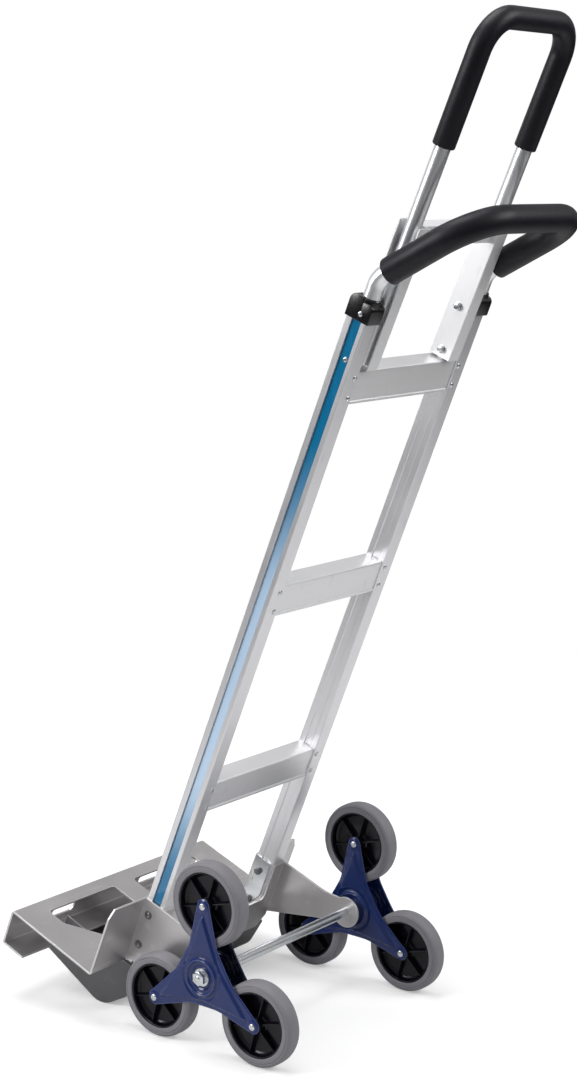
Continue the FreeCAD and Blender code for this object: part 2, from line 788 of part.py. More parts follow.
def window(side):
    """Opening in the deck: square at the front, its outer rear corner cut on a slant."""
    corners = [
        ("window_inner", "window_front"),
        ("window_outer", "window_front"),
        ("window_outer", "window_side"),
        ("window_rear_outer", "window_rear"),
        ("window_inner", "window_rear"),
    ]
    places = [FreeCAD.Vector(side * size(x), size(y), plate_top - 2 * thickness) for x, y in corners]
    solid = Part.Face(Part.makePolygon(places + places[:1])).extrude(FreeCAD.Vector(0, 0, 4 * thickness))
    edges = [edge for edge in solid.Edges if runs_along(edge, UPWARD)]
    return solid.makeFillet(size("window_edge"), edges)


def slot(middle, width, height, y, z):
    """Round-ended slot through an upright sheet, cut along Y."""
    radius = height / 2
    run = width / 2 - radius
    centre = FreeCAD.Vector(middle, y - 2 * thickness, z)
    bar = Part.makeBox(2 * run, 4 * thickness, height, centre + FreeCAD.Vector(-run, 0, -radius))
    ends = [
        Part.makeCylinder(radius, 4 * thickness, centre + FreeCAD.Vector(step, 0, 0), FreeCAD.Vector(0, 1, 0))
        for step in (-run, run)
    ]
    return bar.fuse(ends)


# The upright stands only outside the rails' inner faces, as two wings with slanted outer corners.
gap_half = size("rail_inner")
gap_low = plate_top + size("upright_gap_above")
gap_height = size("upright_top") - gap_low + 1
plate = plate.cut(Part.makeBox(2 * gap_half, 4 * thickness, gap_height,
                               FreeCAD.Vector(-gap_half, upright_y - 2 * thickness, gap_low)))
slant = size("wing_slant")
wing_top = size("upright_top")
for side in SIDES.values():
    corner = [FreeCAD.Vector(side * plate_half, upright_y - 2 * thickness, wing_top - 2 * slant),
              FreeCAD.Vector(side * plate_half, upright_y - 2 * thickness, wing_top),
              FreeCAD.Vector(side * (plate_half - slant), upright_y - 2 * thickness, wing_top)]
    plate = plate.cut(Part.Face(Part.makePolygon(corner + corner[:1])).extrude(
        FreeCAD.Vector(0, 4 * thickness, 0)))
    plate = plate.cut(window(side))
    plate = plate.cut(slot(side * size("slot_middle"), size("slot_width"), size("slot_height"), front_y,
                           plate_top - size("slot_drop")))
keep(shaped("plate_shape", plate), "toe_plate", LEANED)


# Heel skid: a pan below the plate that rides over stair edges --------------------------------

def skid_path():
    """Outline of the pan's bottom; its heel corner drops until the heel rests on the ground."""
    drop = size("skid_knee_drop")
    for _ in range(6):
        corners = [
            FreeCAD.Vector(0, size("skid_front"), plate_top - size("skid_front_drop")),
            FreeCAD.Vector(0, size("heel_back"), -drop),
            FreeCAD.Vector(0, size("knee_back"), -size("skid_knee_drop")),
            point("0", "rail_rear", "carrier_bottom"),
        ]
        path = rounded_path(corners, [size("heel_round"), size("knee_round")])
        standing = path.copy()
        standing.Placement = LEANED
        drop += standing.optimalBoundingBox(True, False).ZMin / math.cos(math.radians(size("lean")))
    return path, corners, drop


SKID_PATH, SKID_CORNERS, HEEL_DROP = skid_path()


def skid_block(inset, lift):
    """Solid inside the pan's outline: an inset narrows it and a lift raises its open top."""
    underside = plate_top - thickness + lift
    back_y = size("rail_rear")
    lip_clear = drop_z - size("skid_gap") + lift
    behind_lip = size("plate_front + lip_depth + 2 * skid_gap")
    front = SKID_CORNERS[0]
    rest = [
        SKID_CORNERS[-1],
        FreeCAD.Vector(0, back_y, underside),
        FreeCAD.Vector(0, behind_lip, underside),
        FreeCAD.Vector(0, behind_lip, lip_clear),
        FreeCAD.Vector(0, front.y, lip_clear),
        front,
    ]
    wire = Part.Wire(SKID_PATH.Edges + Part.makePolygon(rest).Edges)
    half = size("skid_half") - inset
    solid = Part.Face(wire).extrude(FreeCAD.Vector(2 * half, 0, 0))
    solid.translate(FreeCAD.Vector(-half, 0, 0))
    return solid


def build_skid():
    """Pan with a bottom that follows the heel curve and a wall at each side, open at the top."""
    wall = size("skid_sheet")
    inner = skid_block(wall, 4 * wall)
    slope = math.atan2(HEEL_DROP - size("skid_front_drop") + plate_top, size("heel_back - skid_front"))
    inner.translate(FreeCAD.Vector(0, -wall / 4, wall / math.cos(slope)))
    return skid_block(0, 0).cut(inner)


keep(shaped("skid_shape", build_skid()), "heel_skid", LEANED)


# Axle carrier: back plate, side brackets, inner gussets --------------------------------------

outer_x = size("rail_inner + rail_width")
back_y = size("rail_rear")
notch = size("carrier_notch")
horn_x = outer_x - size("carrier_horn")
middle_z = size("carrier_middle")
carrier_half = [
    (horn_x, middle_z),
    (horn_x, size("bracket_top")),
    (outer_x, size("bracket_top")),
    (outer_x, size("carrier_bottom") + notch),
    (outer_x - notch, size("carrier_bottom")),
]
carrier_corners = carrier_half + [(-x, z) for x, z in reversed(carrier_half)]
carrier_places = [FreeCAD.Vector(x, back_y, z) for x, z in carrier_corners]
back_plate = Part.Face(Part.makePolygon(carrier_places + carrier_places[:1]))
back_plate = back_plate.extrude(FreeCAD.Vector(0, size("bracket_sheet"), 0))
inner_bends = [edge for edge in back_plate.Edges
               if edge.Length < 2 * size("bracket_sheet") and abs(edge.Vertexes[0].Z - middle_z) < 1e-6]
back_plate = back_plate.makeFillet(size("carrier_round"), inner_bends)
keep(shaped("back_plate_shape", back_plate), "back_plate", LEANED)


def build_bracket(word, side):
    """Side plate on the rail's outer face that narrows to the eye holding the axle."""
    low = outer_x
    high = outer_x + size("bracket_sheet")
    eye = size("bracket_eye")
    lower_tangent = math.atan2(size("-plate_top") - eye, -upright_y)
    corners = [
        (upright_y, size("plate_top")),
        (upright_y, size("bracket_top")),
        (-size("bracket_neck"), size("bracket_top")),
        (-size("bracket_neck_low"), size("bracket_neck_height")),
        (0.0, size("bracket_neck_height")),
        (-eye * math.sin(lower_tangent), -eye * math.cos(lower_tangent)),
    ]
    start, stop = (low, high) if side > 0 else (-high, -low)
    body = prism_x(corners, start, stop)
    origin = FreeCAD.Vector(start, 0, 0)
    body = body.fuse(Part.makeCylinder(eye, stop - start, origin, ACROSS)).removeSplitter()
    body = body.cut(Part.makeCylinder(size("axle_diameter / 2"), stop - start, origin, ACROSS))
    for height in BRACKET_HEIGHTS:
        hole = FreeCAD.Vector(start, size("bracket_rivet_line"), size(height))
        body = body.cut(Part.makeCylinder(size("bolt_diameter / 2 + bolt_fit"), stop - start, hole, ACROSS))
    keep(shaped(f"{word}_bracket_shape", body), f"{word}_axle_bracket", LEANED)


def build_gusset(word, side):
    """Plate on the rail's inner face that backs the bracket bolts."""
    corners = [
        (upright_y, size("bracket_top")),
        (size("gusset_rear"), size("bracket_top")),
        (size("gusset_rear"), size("lower_rivet + gusset_slant")),
        (size("bracket_rivet_line"), size("gusset_bottom")),
        (upright_y, size("gusset_bottom")),
    ]
    high = size("rail_inner")
    low = high - size("gusset_sheet")
    start, stop = (low, high) if side > 0 else (-high, -low)
    body = prism_x(corners, start, stop)
    for height in BRACKET_HEIGHTS:
        hole = FreeCAD.Vector(start, size("bracket_rivet_line"), size(height))
        body = body.cut(Part.makeCylinder(size("bolt_diameter / 2 + bolt_fit"), stop - start, hole, ACROSS))
    keep(shaped(f"{word}_gusset_shape", body), f"{word}_inner_gusset", LEANED)


bracket_bolts = []
for word, side in SIDES.items():
    build_bracket(word, side)
    build_gusset(word, side)
    for number, height in enumerate(BRACKET_HEIGHTS):
        bracket_bolts.append(side_bolt(
            f"{word}_bracket_bolt_{number}", side, "rail_inner - gusset_sheet",
            "rail_inner + rail_width + bracket_sheet", "bracket_rivet_line", height))
keep(group("bracket_bolt_set", bracket_bolts), "bracket_bolts", LEANED)


# Axle ---------------------------------------------------------------------------------------

AXLE_LINE = ("0", "0")
STAR_OUTER = "star_inner + star_sheet + star_inside + star_sheet"
axle_rod = rod("axle_rod", ("-axle_half",) + AXLE_LINE, "2 * axle_half", "axle_diameter")
keep(group("axle_bar", [axle_rod]), "axle", AXLE)


def ring(name, start, length, outer, inner):
    """Washer or sleeve along +X."""
    blank = rod(name + "_blank", (start,) + AXLE_LINE, length, outer)
    bore = rod(name + "_bore", (f"({start}) - 1",) + AXLE_LINE, f"({length}) + 2", inner)
    return minus(name, blank, [bore])


def mirrored_start(side, low, length):
    return low if side > 0 else f"-(({low}) + ({length}))"


SPACER_LOW = "rail_inner + rail_width + bracket_sheet"
SPACER_LENGTH = f"star_inner - side_gap - ({SPACER_LOW})"
NUT_LOW = f"{STAR_OUTER} + side_gap"
spacers = []
washers = []
nuts = []
for word, side in SIDES.items():
    spacers.append(ring(f"{word}_axle_spacer", mirrored_start(side, SPACER_LOW, SPACER_LENGTH), SPACER_LENGTH,
                        "spacer_diameter", "axle_diameter"))
    washers.append(ring(f"{word}_axle_washer", mirrored_start(side, NUT_LOW, "washer_thickness"),
                        "washer_thickness", "washer_diameter", "axle_diameter"))
    nut_low = f"{NUT_LOW} + washer_thickness"
    blank = hexagon(f"{word}_nut_blank", (mirrored_start(side, nut_low, "nut_height"),) + AXLE_LINE,
                    "nut_height", "nut_flats")
    bore = rod(f"{word}_nut_bore", (mirrored_start(side, nut_low, "nut_height"),) + AXLE_LINE,
               "nut_height", "axle_diameter")
    nuts.append(minus(f"{word}_axle_nut", blank, [bore]))
keep(group("axle_spacer_set", spacers), "axle_spacers", AXLE)
keep(group("axle_washer_set", washers), "axle_washers", AXLE)
keep(group("axle_nut_set", nuts), "axle_nuts", AXLE)


# Stars --------------------------------------------------------------------------------------

ARMS = {"top": 90, "front": 210, "rear": 330}
SLEEVE_BORE = "axle_diameter + 2 * running_fit"


def star_plate(name, place, raised):
    """Three-armed pressed plate drawn on its own XY plane, its pressed ridges towards +Z."""
    body = new_body(name + "_body")
    arm = sketch_on(body, name + "_arm", "XY_Plane")
    outline(arm, [("0", "-arm_root"), ("arm_radius", "-arm_tip"), ("arm_radius", "arm_tip"),
                  ("0", "arm_root")])
    arm_pad = pad(body, arm, "star_sheet")
    tip = sketch_on(body, name + "_tip", "XY_Plane")
    circles(tip, [("arm_radius", "0")], "2 * arm_tip")
    tip_pad = pad(body, tip, "star_sheet")
    features = [arm_pad, tip_pad]
    if raised:
        ridge = sketch_on(body, name + "_ridge", "XY_Plane", "star_sheet")
        outline(ridge, [("0", "-ridge_root"), ("ridge_end", "-ridge_tip"), ("ridge_end", "ridge_tip"),
                        ("0", "ridge_root")])
        features.append(pad(body, ridge, "ridge_height"))
    doc.recompute()
    polar(body, features, "3")
    hub = sketch_on(body, name + "_hub", "XY_Plane")
    circles(hub, [("0", "0")], "2 * hub_ring")
    pad(body, hub, "star_sheet + hub_ring_height" if raised else "star_sheet")
    if raised:
        recess = sketch_on(body, name + "_recess", "XY_Plane", "star_sheet + hub_ring_height")
        circles(recess, [("0", "0")], "2 * hub_recess")
        pocket(body, recess, "hub_ring_height")
    bore = sketch_on(body, name + "_bore", "XY_Plane", "star_sheet")
    circles(bore, [("0", "0")], "sleeve_diameter")
    pocket(body, bore, "star_sheet")
    pin = sketch_on(body, name + "_pin", "XY_Plane", "star_sheet")
    circles(pin, [("arm_radius", "0")], "pin_diameter")
    hole = pocket(body, pin, "star_sheet")
    polar(body, [hole], "3")
    keep(body, name, place)


def plate_place(side, distance):
    """First arm (+X of the plate) goes up and the plate's +Z goes outwards."""
    up = FreeCAD.Vector(0, 0, 1)
    out = ACROSS * side
    across = out.cross(up)
    matrix = FreeCAD.Matrix(up.x, across.x, out.x, side * distance,
                            up.y, across.y, out.y, 0,
                            up.z, across.z, out.z, 0,
                            0, 0, 0, 1)
    return AXLE.multiply(FreeCAD.Placement(matrix))


def arm_point(degrees):
    """Wheel pin centre as Y and Z expressions from the axle."""
    return (f"arm_radius * cos({degrees} deg)", f"arm_radius * sin({degrees} deg)")


WHEEL_MIDDLE = "star_inner + star_sheet + star_inside / 2"


def build_pins(word, side):
    """Three shouldered pins riveted through both plates."""
    pins = []
    low = "star_inner - pin_head_height"
    length = "2 * pin_head_height + 2 * star_sheet + star_inside"
    for arm, degrees in ARMS.items():
        line = arm_point(degrees)
        name = f"{word}_{arm}_pin"
        shank = rod(name + "_shank", (mirrored_start(side, low, length),) + line, length, "pin_diameter")
        heads = [
            rod(f"{name}_head_{number}", (mirrored_start(side, start, "pin_head_height"),) + line,
                "pin_head_height", "pin_head")
            for number, start in enumerate((low, STAR_OUTER))
        ]
        pins.append(fused(name, [shank] + heads))
    keep(group(f"{word}_pin_set", pins), f"{word}_wheel_pins", AXLE)


def revolved(name, corners):
    """Body turned about its X axis from (x, radius) pairs of expressions."""
    body = new_body(name + "_body")
    profile = sketch_on(body, name + "_profile", "XY_Plane")
    outline(profile, corners)
    axis = [each for each in body.Origin.OriginFeatures if each.Role == "X_Axis"][0]
    item = body.newObject("PartDesign::Revolution", name + "_turned")
    item.Profile = profile
    item.ReferenceAxis = (axis, [""])
    item.Angle = 360
    return body


def build_wheel(word, side, arm, degrees):
    """Tyre on a ribbed rim that turns on its pin."""
    name = f"{word}_{arm}"
    y, z = (size(each) for each in arm_point(degrees))
    centre = FreeCAD.Vector(side * size(WHEEL_MIDDLE), y, z)
    place = AXLE.multiply(FreeCAD.Placement(centre, FreeCAD.Rotation()))
    half = "tyre_width / 2"
    outer = "wheel_diameter / 2"
    seat = "tyre_inner / 2"
    shoulder_radius = f"{outer} - tyre_round / 2"
    tread_edge = f"{half} - tyre_round / 2"
    tyre = revolved(name + "_tyre", [(f"-{half}", seat), (half, seat), (half, shoulder_radius),
                                     (tread_edge, outer), (f"-({tread_edge})", outer),
                                     (f"-{half}", shoulder_radius)])

    def shoulder(edge):
        return isinstance(edge.Curve, Part.Circle) and edge.Curve.Radius > size("tyre_inner / 2 + 1")

    round_edges(tyre, name + "_tyre_edges", "tyre_round / 3", shoulder)
    keep(tyre, name + "_tyre", place)
    rim = "rim_width / 2"
    bore = "pin_diameter / 2 + running_fit"
    hub = "rim_hub / 2"
    hub_half = "rim_hub_width / 2"
    web = "rim_web / 2"
    inner = f"{seat} - rim_wall"
    body = revolved(name + "_rim", [(f"-{hub_half}", bore), (hub_half, bore), (hub_half, hub), (web, hub),
                                    (web, inner), (rim, inner), (rim, seat), (f"-{rim}", seat),
                                    (f"-{rim}", inner), (f"-{web}", inner), (f"-{web}", hub),
                                    (f"-{hub_half}", hub)])
    doc.recompute()
    rib = sketch_on(body, name + "_rib", "YZ_Plane", "-rib_width / 2")
    outline(rib, [(f"{hub} - 1", "-rib_thickness / 2"), (f"{inner} + 1", "-rib_thickness / 2"),
                  (f"{inner} + 1", "rib_thickness / 2"), (f"{hub} - 1", "rib_thickness / 2")])
    rib_pad = pad(body, rib, "rib_width")
    doc.recompute()
    polar(body, [rib_pad], "rim_ribs", "X_Axis")
    keep(body, name + "_rim", place)


for word, side in SIDES.items():
    outer_place = plate_place(side, size("star_inner + star_sheet + star_inside"))
    star_plate(f"{word}_star_outer_plate", outer_place, True)
    star_plate(f"{word}_star_inner_plate", plate_place(side, size("star_inner")), False)
    sleeve_length = "2 * star_sheet + star_inside"
    sleeve = ring(f"{word}_sleeve", mirrored_start(side, "star_inner", sleeve_length), sleeve_length,
                  "sleeve_diameter", SLEEVE_BORE)
    keep(sleeve, f"{word}_star_sleeve", AXLE)
    build_pins(word, side)
    for arm, degrees in ARMS.items():
        build_wheel(word, side, arm, degrees)


# Write the sub-parts ------------------------------------------------------------------------

doc.recompute()
for item in doc.Objects:
    if {"Invalid", "Error"} & set(item.State):
        raise ValueError(f"{item.Name} failed: {item.State}")
for item in parts:
    if item.Shape.isNull() or not item.Shape.isValid():
        raise ValueError(f"{item.Label} has no valid shape")

# The origin is on the ground, below the middle of the box round the whole truck.
whole = Part.makeCompound([item.Shape for item in parts]).optimalBoundingBox(True, False)
middle = FreeCAD.Vector(0, -(whole.YMin + whole.YMax) / 2, 0)
for item in parts:
    item.Placement.move(middle)
doc.recompute()
print("axle centre", AXLE.Base + middle, "lean", size("lean"))
print("box", whole.XLength, whole.YLength, whole.ZMin, whole.ZMax)

os.makedirs("parts", exist_ok=True)
for item in parts:
    item.Shape.exportStep(f"parts/{item.Label}.step")
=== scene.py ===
"""Looks of a stair-climbing hand truck: grips, caps, stars, wheels, finishes and studio."""

import json
import logging
import math
from collections.abc import Callable
from dataclasses import dataclass
from enum import Enum

import bpy
from mathutils import Matrix, Vector


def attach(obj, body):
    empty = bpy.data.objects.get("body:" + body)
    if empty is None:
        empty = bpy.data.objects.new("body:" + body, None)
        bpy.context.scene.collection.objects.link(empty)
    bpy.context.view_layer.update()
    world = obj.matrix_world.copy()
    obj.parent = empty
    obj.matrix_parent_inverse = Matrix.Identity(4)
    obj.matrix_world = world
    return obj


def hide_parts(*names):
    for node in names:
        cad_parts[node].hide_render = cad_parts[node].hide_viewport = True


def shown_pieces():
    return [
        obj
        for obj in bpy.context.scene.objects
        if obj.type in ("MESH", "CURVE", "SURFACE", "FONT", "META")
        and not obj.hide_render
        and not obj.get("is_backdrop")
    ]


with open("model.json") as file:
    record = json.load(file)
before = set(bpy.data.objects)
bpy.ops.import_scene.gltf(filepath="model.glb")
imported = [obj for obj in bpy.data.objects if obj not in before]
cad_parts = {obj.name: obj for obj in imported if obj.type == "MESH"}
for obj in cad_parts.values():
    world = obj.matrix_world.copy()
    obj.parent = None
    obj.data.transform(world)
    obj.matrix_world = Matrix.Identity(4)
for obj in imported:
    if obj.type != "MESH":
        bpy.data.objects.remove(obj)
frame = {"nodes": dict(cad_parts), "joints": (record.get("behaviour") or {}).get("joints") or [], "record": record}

LOG = logging.getLogger("hand_truck")
MM = 0.001
Colour = tuple[float, float, float]
SIDES = {"left": 1.0, "right": -1.0}
ARMS = {"top": 90.0, "front": 210.0, "rear": 330.0}
ACROSS = Vector((1.0, 0.0, 0.0))
LEAN = math.radians(21.65)  # of the rails, back from upright
HANDLE_LINE = -146.5  # both handles' tubes, in mm back from the axle
HANDLE_SIDE = 132.5  # the loop handle's legs, in mm from the middle plane
PIN_REACH = 104.5  # wheel pins, in mm from the axle


def grey(level: float) -> Colour:
    """A grey of one level."""
    return (level, level, level)


# --- Shader maths ---


class Value:
    """A number that changes over the surface; arithmetic on it adds Math nodes."""

    def __init__(self, graph: "Graph", socket: bpy.types.NodeSocket) -> None:
        """Wrap an output socket of a graph."""
        self.graph = graph
        self.socket = socket

    def _math(self, operation: str, first: object, second: object = 0.0,
              clamp: bool = False) -> "Value":
        """Add one Math node and return its result."""
        node = self.graph.node("ShaderNodeMath", {"operation": operation, "use_clamp": clamp},
                               {0: first, 1: second})
        return Value(self.graph, node.outputs[0])

    def __add__(self, other: object) -> "Value":
        """Sum."""
        return self._math("ADD", self, other)

    __radd__ = __add__

    def __rsub__(self, other: object) -> "Value":
        """Difference with the value last."""
        return self._math("SUBTRACT", other, self)

    def __mul__(self, other: object) -> "Value":
        """Product."""
        return self._math("MULTIPLY", self, other)

    def clamped(self) -> "Value":
        """The value held between 0 and 1."""
        return self._math("ADD", self, 0.0, clamp=True)

    def between(self, low: float, high: float) -> "Value":
        """Smooth step from 0 at low to 1 at high.

        Args:
            low: Value that gives 0.
            high: Value that gives 1.

        Returns:
            The step.
        """
        node = self.graph.node(
            "ShaderNodeMapRange",
            {"interpolation_type": "SMOOTHSTEP", "clamp": True},
            {"Value": self, "From Min": low, "From Max": high, "To Min": 0.0, "To Max": 1.0},
        )
        return Value(self.graph, node.outputs["Result"])


class Graph:
    """Node tree of a material or of the world."""

    def __init__(self, owner: bpy.types.Material | bpy.types.World) -> None:
        """Empty the owner's node tree.

        Args:
            owner: Material or world that holds the tree.
        """
        owner.use_nodes = True
        self.tree = owner.node_tree
        self.tree.nodes.clear()
        self.place = self.node("ShaderNodeTexCoord").outputs["Object"]

    def node(self, kind: str, settings: dict[str, object] | None = None,
             values: dict[object, object] | None = None) -> bpy.types.Node:
        """Add a node.

        Args:
            kind: Its type.
            settings: Properties that are set first.
            values: Values or links of its inputs, by name or number.

        Returns:
            The node.
        """
        made = self.tree.nodes.new(kind)
        for name, setting in (settings or {}).items():
            setattr(made, name, setting)
        for key, value in (values or {}).items():
            socket = value.socket if isinstance(value, Value) else value
            if isinstance(socket, bpy.types.NodeSocket):
                self.tree.links.new(socket, made.inputs[key])
            else:
                made.inputs[key].default_value = socket
        return made

    def noise(self, scale: float, stretch: Colour = (1.0, 1.0, 1.0), detail: float = 3.0,
              lean: float = 0.0) -> Value:
        """Noise, stretched along the leaned frame's axes.

        Args:
            scale: Waves per metre.
            stretch: Factor on each axis; a small one draws the grain out along it.
            detail: Octaves.
            lean: Angle that the surface's frame leans back, in radians.

        Returns:
            The noise, from 0 to 1.
        """
        turned = self.node("ShaderNodeMapping", {},
                           {"Vector": self.place, "Rotation": (lean, 0.0, 0.0)})
        drawn = self.node("ShaderNodeMapping", {}, {"Vector": turned.outputs[0], "Scale": stretch})
        made = self.node("ShaderNodeTexNoise", {},
                         {"Vector": drawn.outputs[0], "Scale": scale, "Detail": detail})
        return Value(self, made.outputs["Fac"])

    def cells(self, scale: float) -> Value:
        """Distance to the nearest of many scattered points."""
        made = self.node("ShaderNodeTexVoronoi", {"feature": "F1"},
                         {"Vector": self.place, "Scale": scale})
        return Value(self, made.outputs["Distance"])

    def height(self) -> Value:
        """Height above the ground in metres."""
        made = self.node("ShaderNodeSeparateXYZ", {}, {0: self.place})
        return Value(self, made.outputs["Z"])

    def outward(self) -> Value:
        """Positive where the face looks away from the truck's middle plane.

        Returns:
            Product of the normal's and the place's X.
        """
        facing = self.node("ShaderNodeSeparateXYZ", {},
                           {0: self.node("ShaderNodeNewGeometry").outputs["Normal"]})
        place = self.node("ShaderNodeSeparateXYZ", {}, {0: self.place})
        return Value(self, facing.outputs["X"]) * Value(self, place.outputs["X"])

    def distance(self) -> Value:
        """Distance from the middle of the ground in metres."""
        made = self.node("ShaderNodeVectorMath", {"operation": "LENGTH"}, {0: self.place})
        return Value(self, made.outputs["Value"])

    def mix(self, first: object, second: object, factor: object) -> bpy.types.NodeSocket:
        """Blend two colours by a factor.

        Args:
            first: Colour or colour socket at factor 0.
            second: Colour or colour socket at factor 1.
            factor: Value or number.

        Returns:
            The blended colour's socket.
        """
        def full(colour: object) -> object:
            """A plain colour gets its alpha."""
            return (*colour, 1.0) if isinstance(colour, tuple) else colour

        made = self.node("ShaderNodeMix", {"data_type": "RGBA"},
                         {0: factor, 6: full(first), 7: full(second)})
        return made.outputs[2]

    def rounded(self, radius: float) -> bpy.types.NodeSocket:
        """Normal that softens edges over a radius in metres."""
        return self.node("ShaderNodeBevel", {"samples": 4}, {"Radius": radius}).outputs[0]

    def edges(self, normal: bpy.types.NodeSocket) -> Value:
        """Mask that is 1 on sharp edges and 0 on flat faces.

        Args:
            normal: Softened normal.

        Returns:
            The mask.
        """
        true = self.node("ShaderNodeNewGeometry").outputs["Normal"]
        made = self.node("ShaderNodeVectorMath", {"operation": "DOT_PRODUCT"}, {0: normal, 1: true})
        return (1.0 - Value(self, made.outputs["Value"])).between(0.004, 0.07)


# --- Finishes ---


def shade(colour: Colour, factor: float) -> Colour:
    """A colour made darker or lighter by a factor, at most white."""
    return tuple(min(1.0, channel * factor) for channel in colour)


@dataclass(frozen=True)
class Surface:
    """What changes over a finish: its colour, roughness and relief."""

    colour: bpy.types.NodeSocket
    roughness: Value
    relief: Value
    depth: float


@dataclass(frozen=True)
class Finish:
    """A finish; a subclass says how it changes over the surface."""

    name: str
    colour: Colour
    roughness: float = 0.5
    metallic: float = 0.0
    coat: float = 0.0
    specular: float = 0.5
    softened: float = 0.6
    # Edge mix: worn edges and a painted edge highlight where the edge colour is lighter, painted shade where it is
    # darker.
    edge_wear_and_painted_light: float = 0.0
    edge_and_dust_colour: Colour = (0.8, 0.8, 0.8)
    wear_width: float = 1.6

    def surface(self, graph: Graph) -> Surface:
        """Colour, roughness and relief of the finish."""
        raise NotImplementedError

    def material(self) -> bpy.types.Material:
        """Build the material.

        Returns:
            The finished material.
        """
        material = bpy.data.materials.new(self.name)
        graph = Graph(material)
        made = self.surface(graph)
        colour = made.colour
        bump_values = {"Strength": 1.0, "Distance": made.depth * MM, "Height": made.relief}
        if self.softened:
            bump_values["Normal"] = graph.rounded(self.softened * MM)
        # Edges are mixed towards the edge colour: wear and a painted edge highlight, and on the blue strip painted
        # shade in its groove.
        if self.edge_wear_and_painted_light:
            edge_normal = graph.rounded(self.wear_width * MM)
            colour = graph.mix(colour, self.edge_and_dust_colour, graph.edges(edge_normal) * self.edge_wear_and_painted_light)
        bump = graph.node("ShaderNodeBump", {}, bump_values)
        shader = graph.node("ShaderNodeBsdfPrincipled", {}, {
            "Base Color": colour,
            "Roughness": made.roughness,
            "Metallic": self.metallic,
            "Coat Weight": self.coat,
            "Coat Roughness": 0.08,
            "Specular IOR Level": self.specular,
            "Normal": bump.outputs[0],
        })
        graph.node("ShaderNodeOutputMaterial", {}, {"Surface": shader.outputs[0]})
        return material


@dataclass(frozen=True)
class Drawn(Finish):
    """Extruded or drawn aluminium: fine die lines along the piece under a satin bloom."""

    lean: float = LEAN
    along: int = 2
    line_scale: float = 900.0
    line_depth: float = 0.02

    def surface(self, graph: Graph) -> Surface:
        """Die lines, a cloudy bloom and a few darker scuffs.

        Args:
            graph: Node tree that the finish is built in.

        Returns:
            What changes over the finish.
        """
        stretch = [1.0, 1.0, 1.0]
        stretch[self.along] = 0.012
        lines = graph.noise(self.line_scale, tuple(stretch), 4.0, self.lean)
        bloom = graph.noise(9.0, (1.0, 1.0, 1.0), 4.0)
        scuffs = graph.noise(70.0, (1.0, 1.0, 0.35), 6.0, self.lean).between(0.62, 0.78)
        tone = graph.mix(shade(self.colour, 0.90), shade(self.colour, 1.06),
                         lines * 0.6 + bloom * 0.4)
        colour = graph.mix(tone, shade(self.colour, 0.78), scuffs * 0.35)
        roughness = lines * 0.12 + bloom * 0.10 + scuffs * 0.12 + (self.roughness - 0.11)
        return Surface(colour, roughness, lines, self.line_depth)


@dataclass(frozen=True)
class Painted(Finish):
    """Paint on pressed steel, with orange peel and a little scattered dust."""

    peel: float = 160.0
    peel_depth: float = 0.05
    mottle: float = 0.12

    def surface(self, graph: Graph) -> Surface:
        """Orange peel, mottled tone and fine dust.

        Args:
            graph: Node tree that the finish is built in.

        Returns:
            What changes over the finish.
        """
        peel = graph.noise(self.peel, detail=2.0)
        cloud = graph.noise(14.0, detail=5.0)
        dust = graph.noise(620.0, detail=2.0).between(0.66, 0.80)
        tone = graph.mix(shade(self.colour, 1.0 - self.mottle),
                         shade(self.colour, 1.0 + self.mottle), cloud)
        colour = graph.mix(tone, shade(self.edge_and_dust_colour, 0.5), dust * 0.06)
        roughness = cloud * 0.12 + dust * 0.15 + (self.roughness - 0.06)
        return Surface(colour, roughness, peel, self.peel_depth)


@dataclass(frozen=True)
class ShadedBackPaint(Painted):
    """Paint with painted shade: nearly black on the side that faces the wheels, where shade falls."""

    # Colour of the painted shade on the side that faces the wheels.
    back: Colour = (0.003, 0.004, 0.016)

    def surface(self, graph: Graph) -> Surface:
        """The paint, with painted shade where the face looks outwards, towards the wheels.

        Args:
            graph: Node tree that the finish is built in.

        Returns:
            What changes over the finish.
        """
        front = super().surface(graph)
        # Painted shade: the faces that look outwards, towards the wheels, are darkened.
        painted_shade_mask = graph.outward().between(-0.02, 0.02)
        return Surface(graph.mix(front.colour, self.back, painted_shade_mask), front.roughness, front.relief,
                       front.depth)


@dataclass(frozen=True)
class Sheet(Finish):
    """Bare rolled sheet under a thin grey coat: cloudy, with rolling lines across and rub marks."""

    lean: float = LEAN

    def surface(self, graph: Graph) -> Surface:
        """Rolling lines, clouds and rub marks.

        Args:
            graph: Node tree that the finish is built in.

        Returns:
            What changes over the finish.
        """
        lines = graph.noise(420.0, (0.03, 1.0, 1.0), 4.0, self.lean)
        cloud = graph.noise(11.0, detail=6.0)
        rubbed = graph.noise(46.0, (0.3, 1.0, 1.0), 8.0, self.lean).between(0.57, 0.74)
        tone = graph.mix(shade(self.colour, 0.86), shade(self.colour, 1.12), cloud)
        colour = graph.mix(tone, shade(self.colour, 1.45), rubbed * 0.35)
        roughness = cloud * 0.16 + lines * 0.10 + (self.roughness - 0.13)
        return Surface(colour, roughness, lines, 0.03)


@dataclass(frozen=True)
class Foam(Finish):
    """Closed-cell foam: tiny pores and soft dents in a matt skin."""

    pore: float = 1500.0

    def surface(self, graph: Graph) -> Surface:
        """Pores, soft dents and paler rubbed patches.

        Args:
            graph: Node tree that the finish is built in.

        Returns:
            What changes over the finish.
        """
        pores = graph.cells(self.pore)
        dents = graph.noise(85.0, detail=4.0)
        rubbed = graph.noise(24.0, detail=5.0).between(0.45, 0.75)
        tone = graph.mix(shade(self.colour, 0.75), shade(self.colour, 1.45),
                         pores * 0.9 + dents * 0.3)
        colour = graph.mix(tone, shade(self.colour, 1.9), rubbed * 0.35)
        roughness = dents * 0.12 + rubbed * 0.06 + (self.roughness - 0.06)
        return Surface(colour, roughness, pores * 0.5 + dents * 1.2, 0.16)


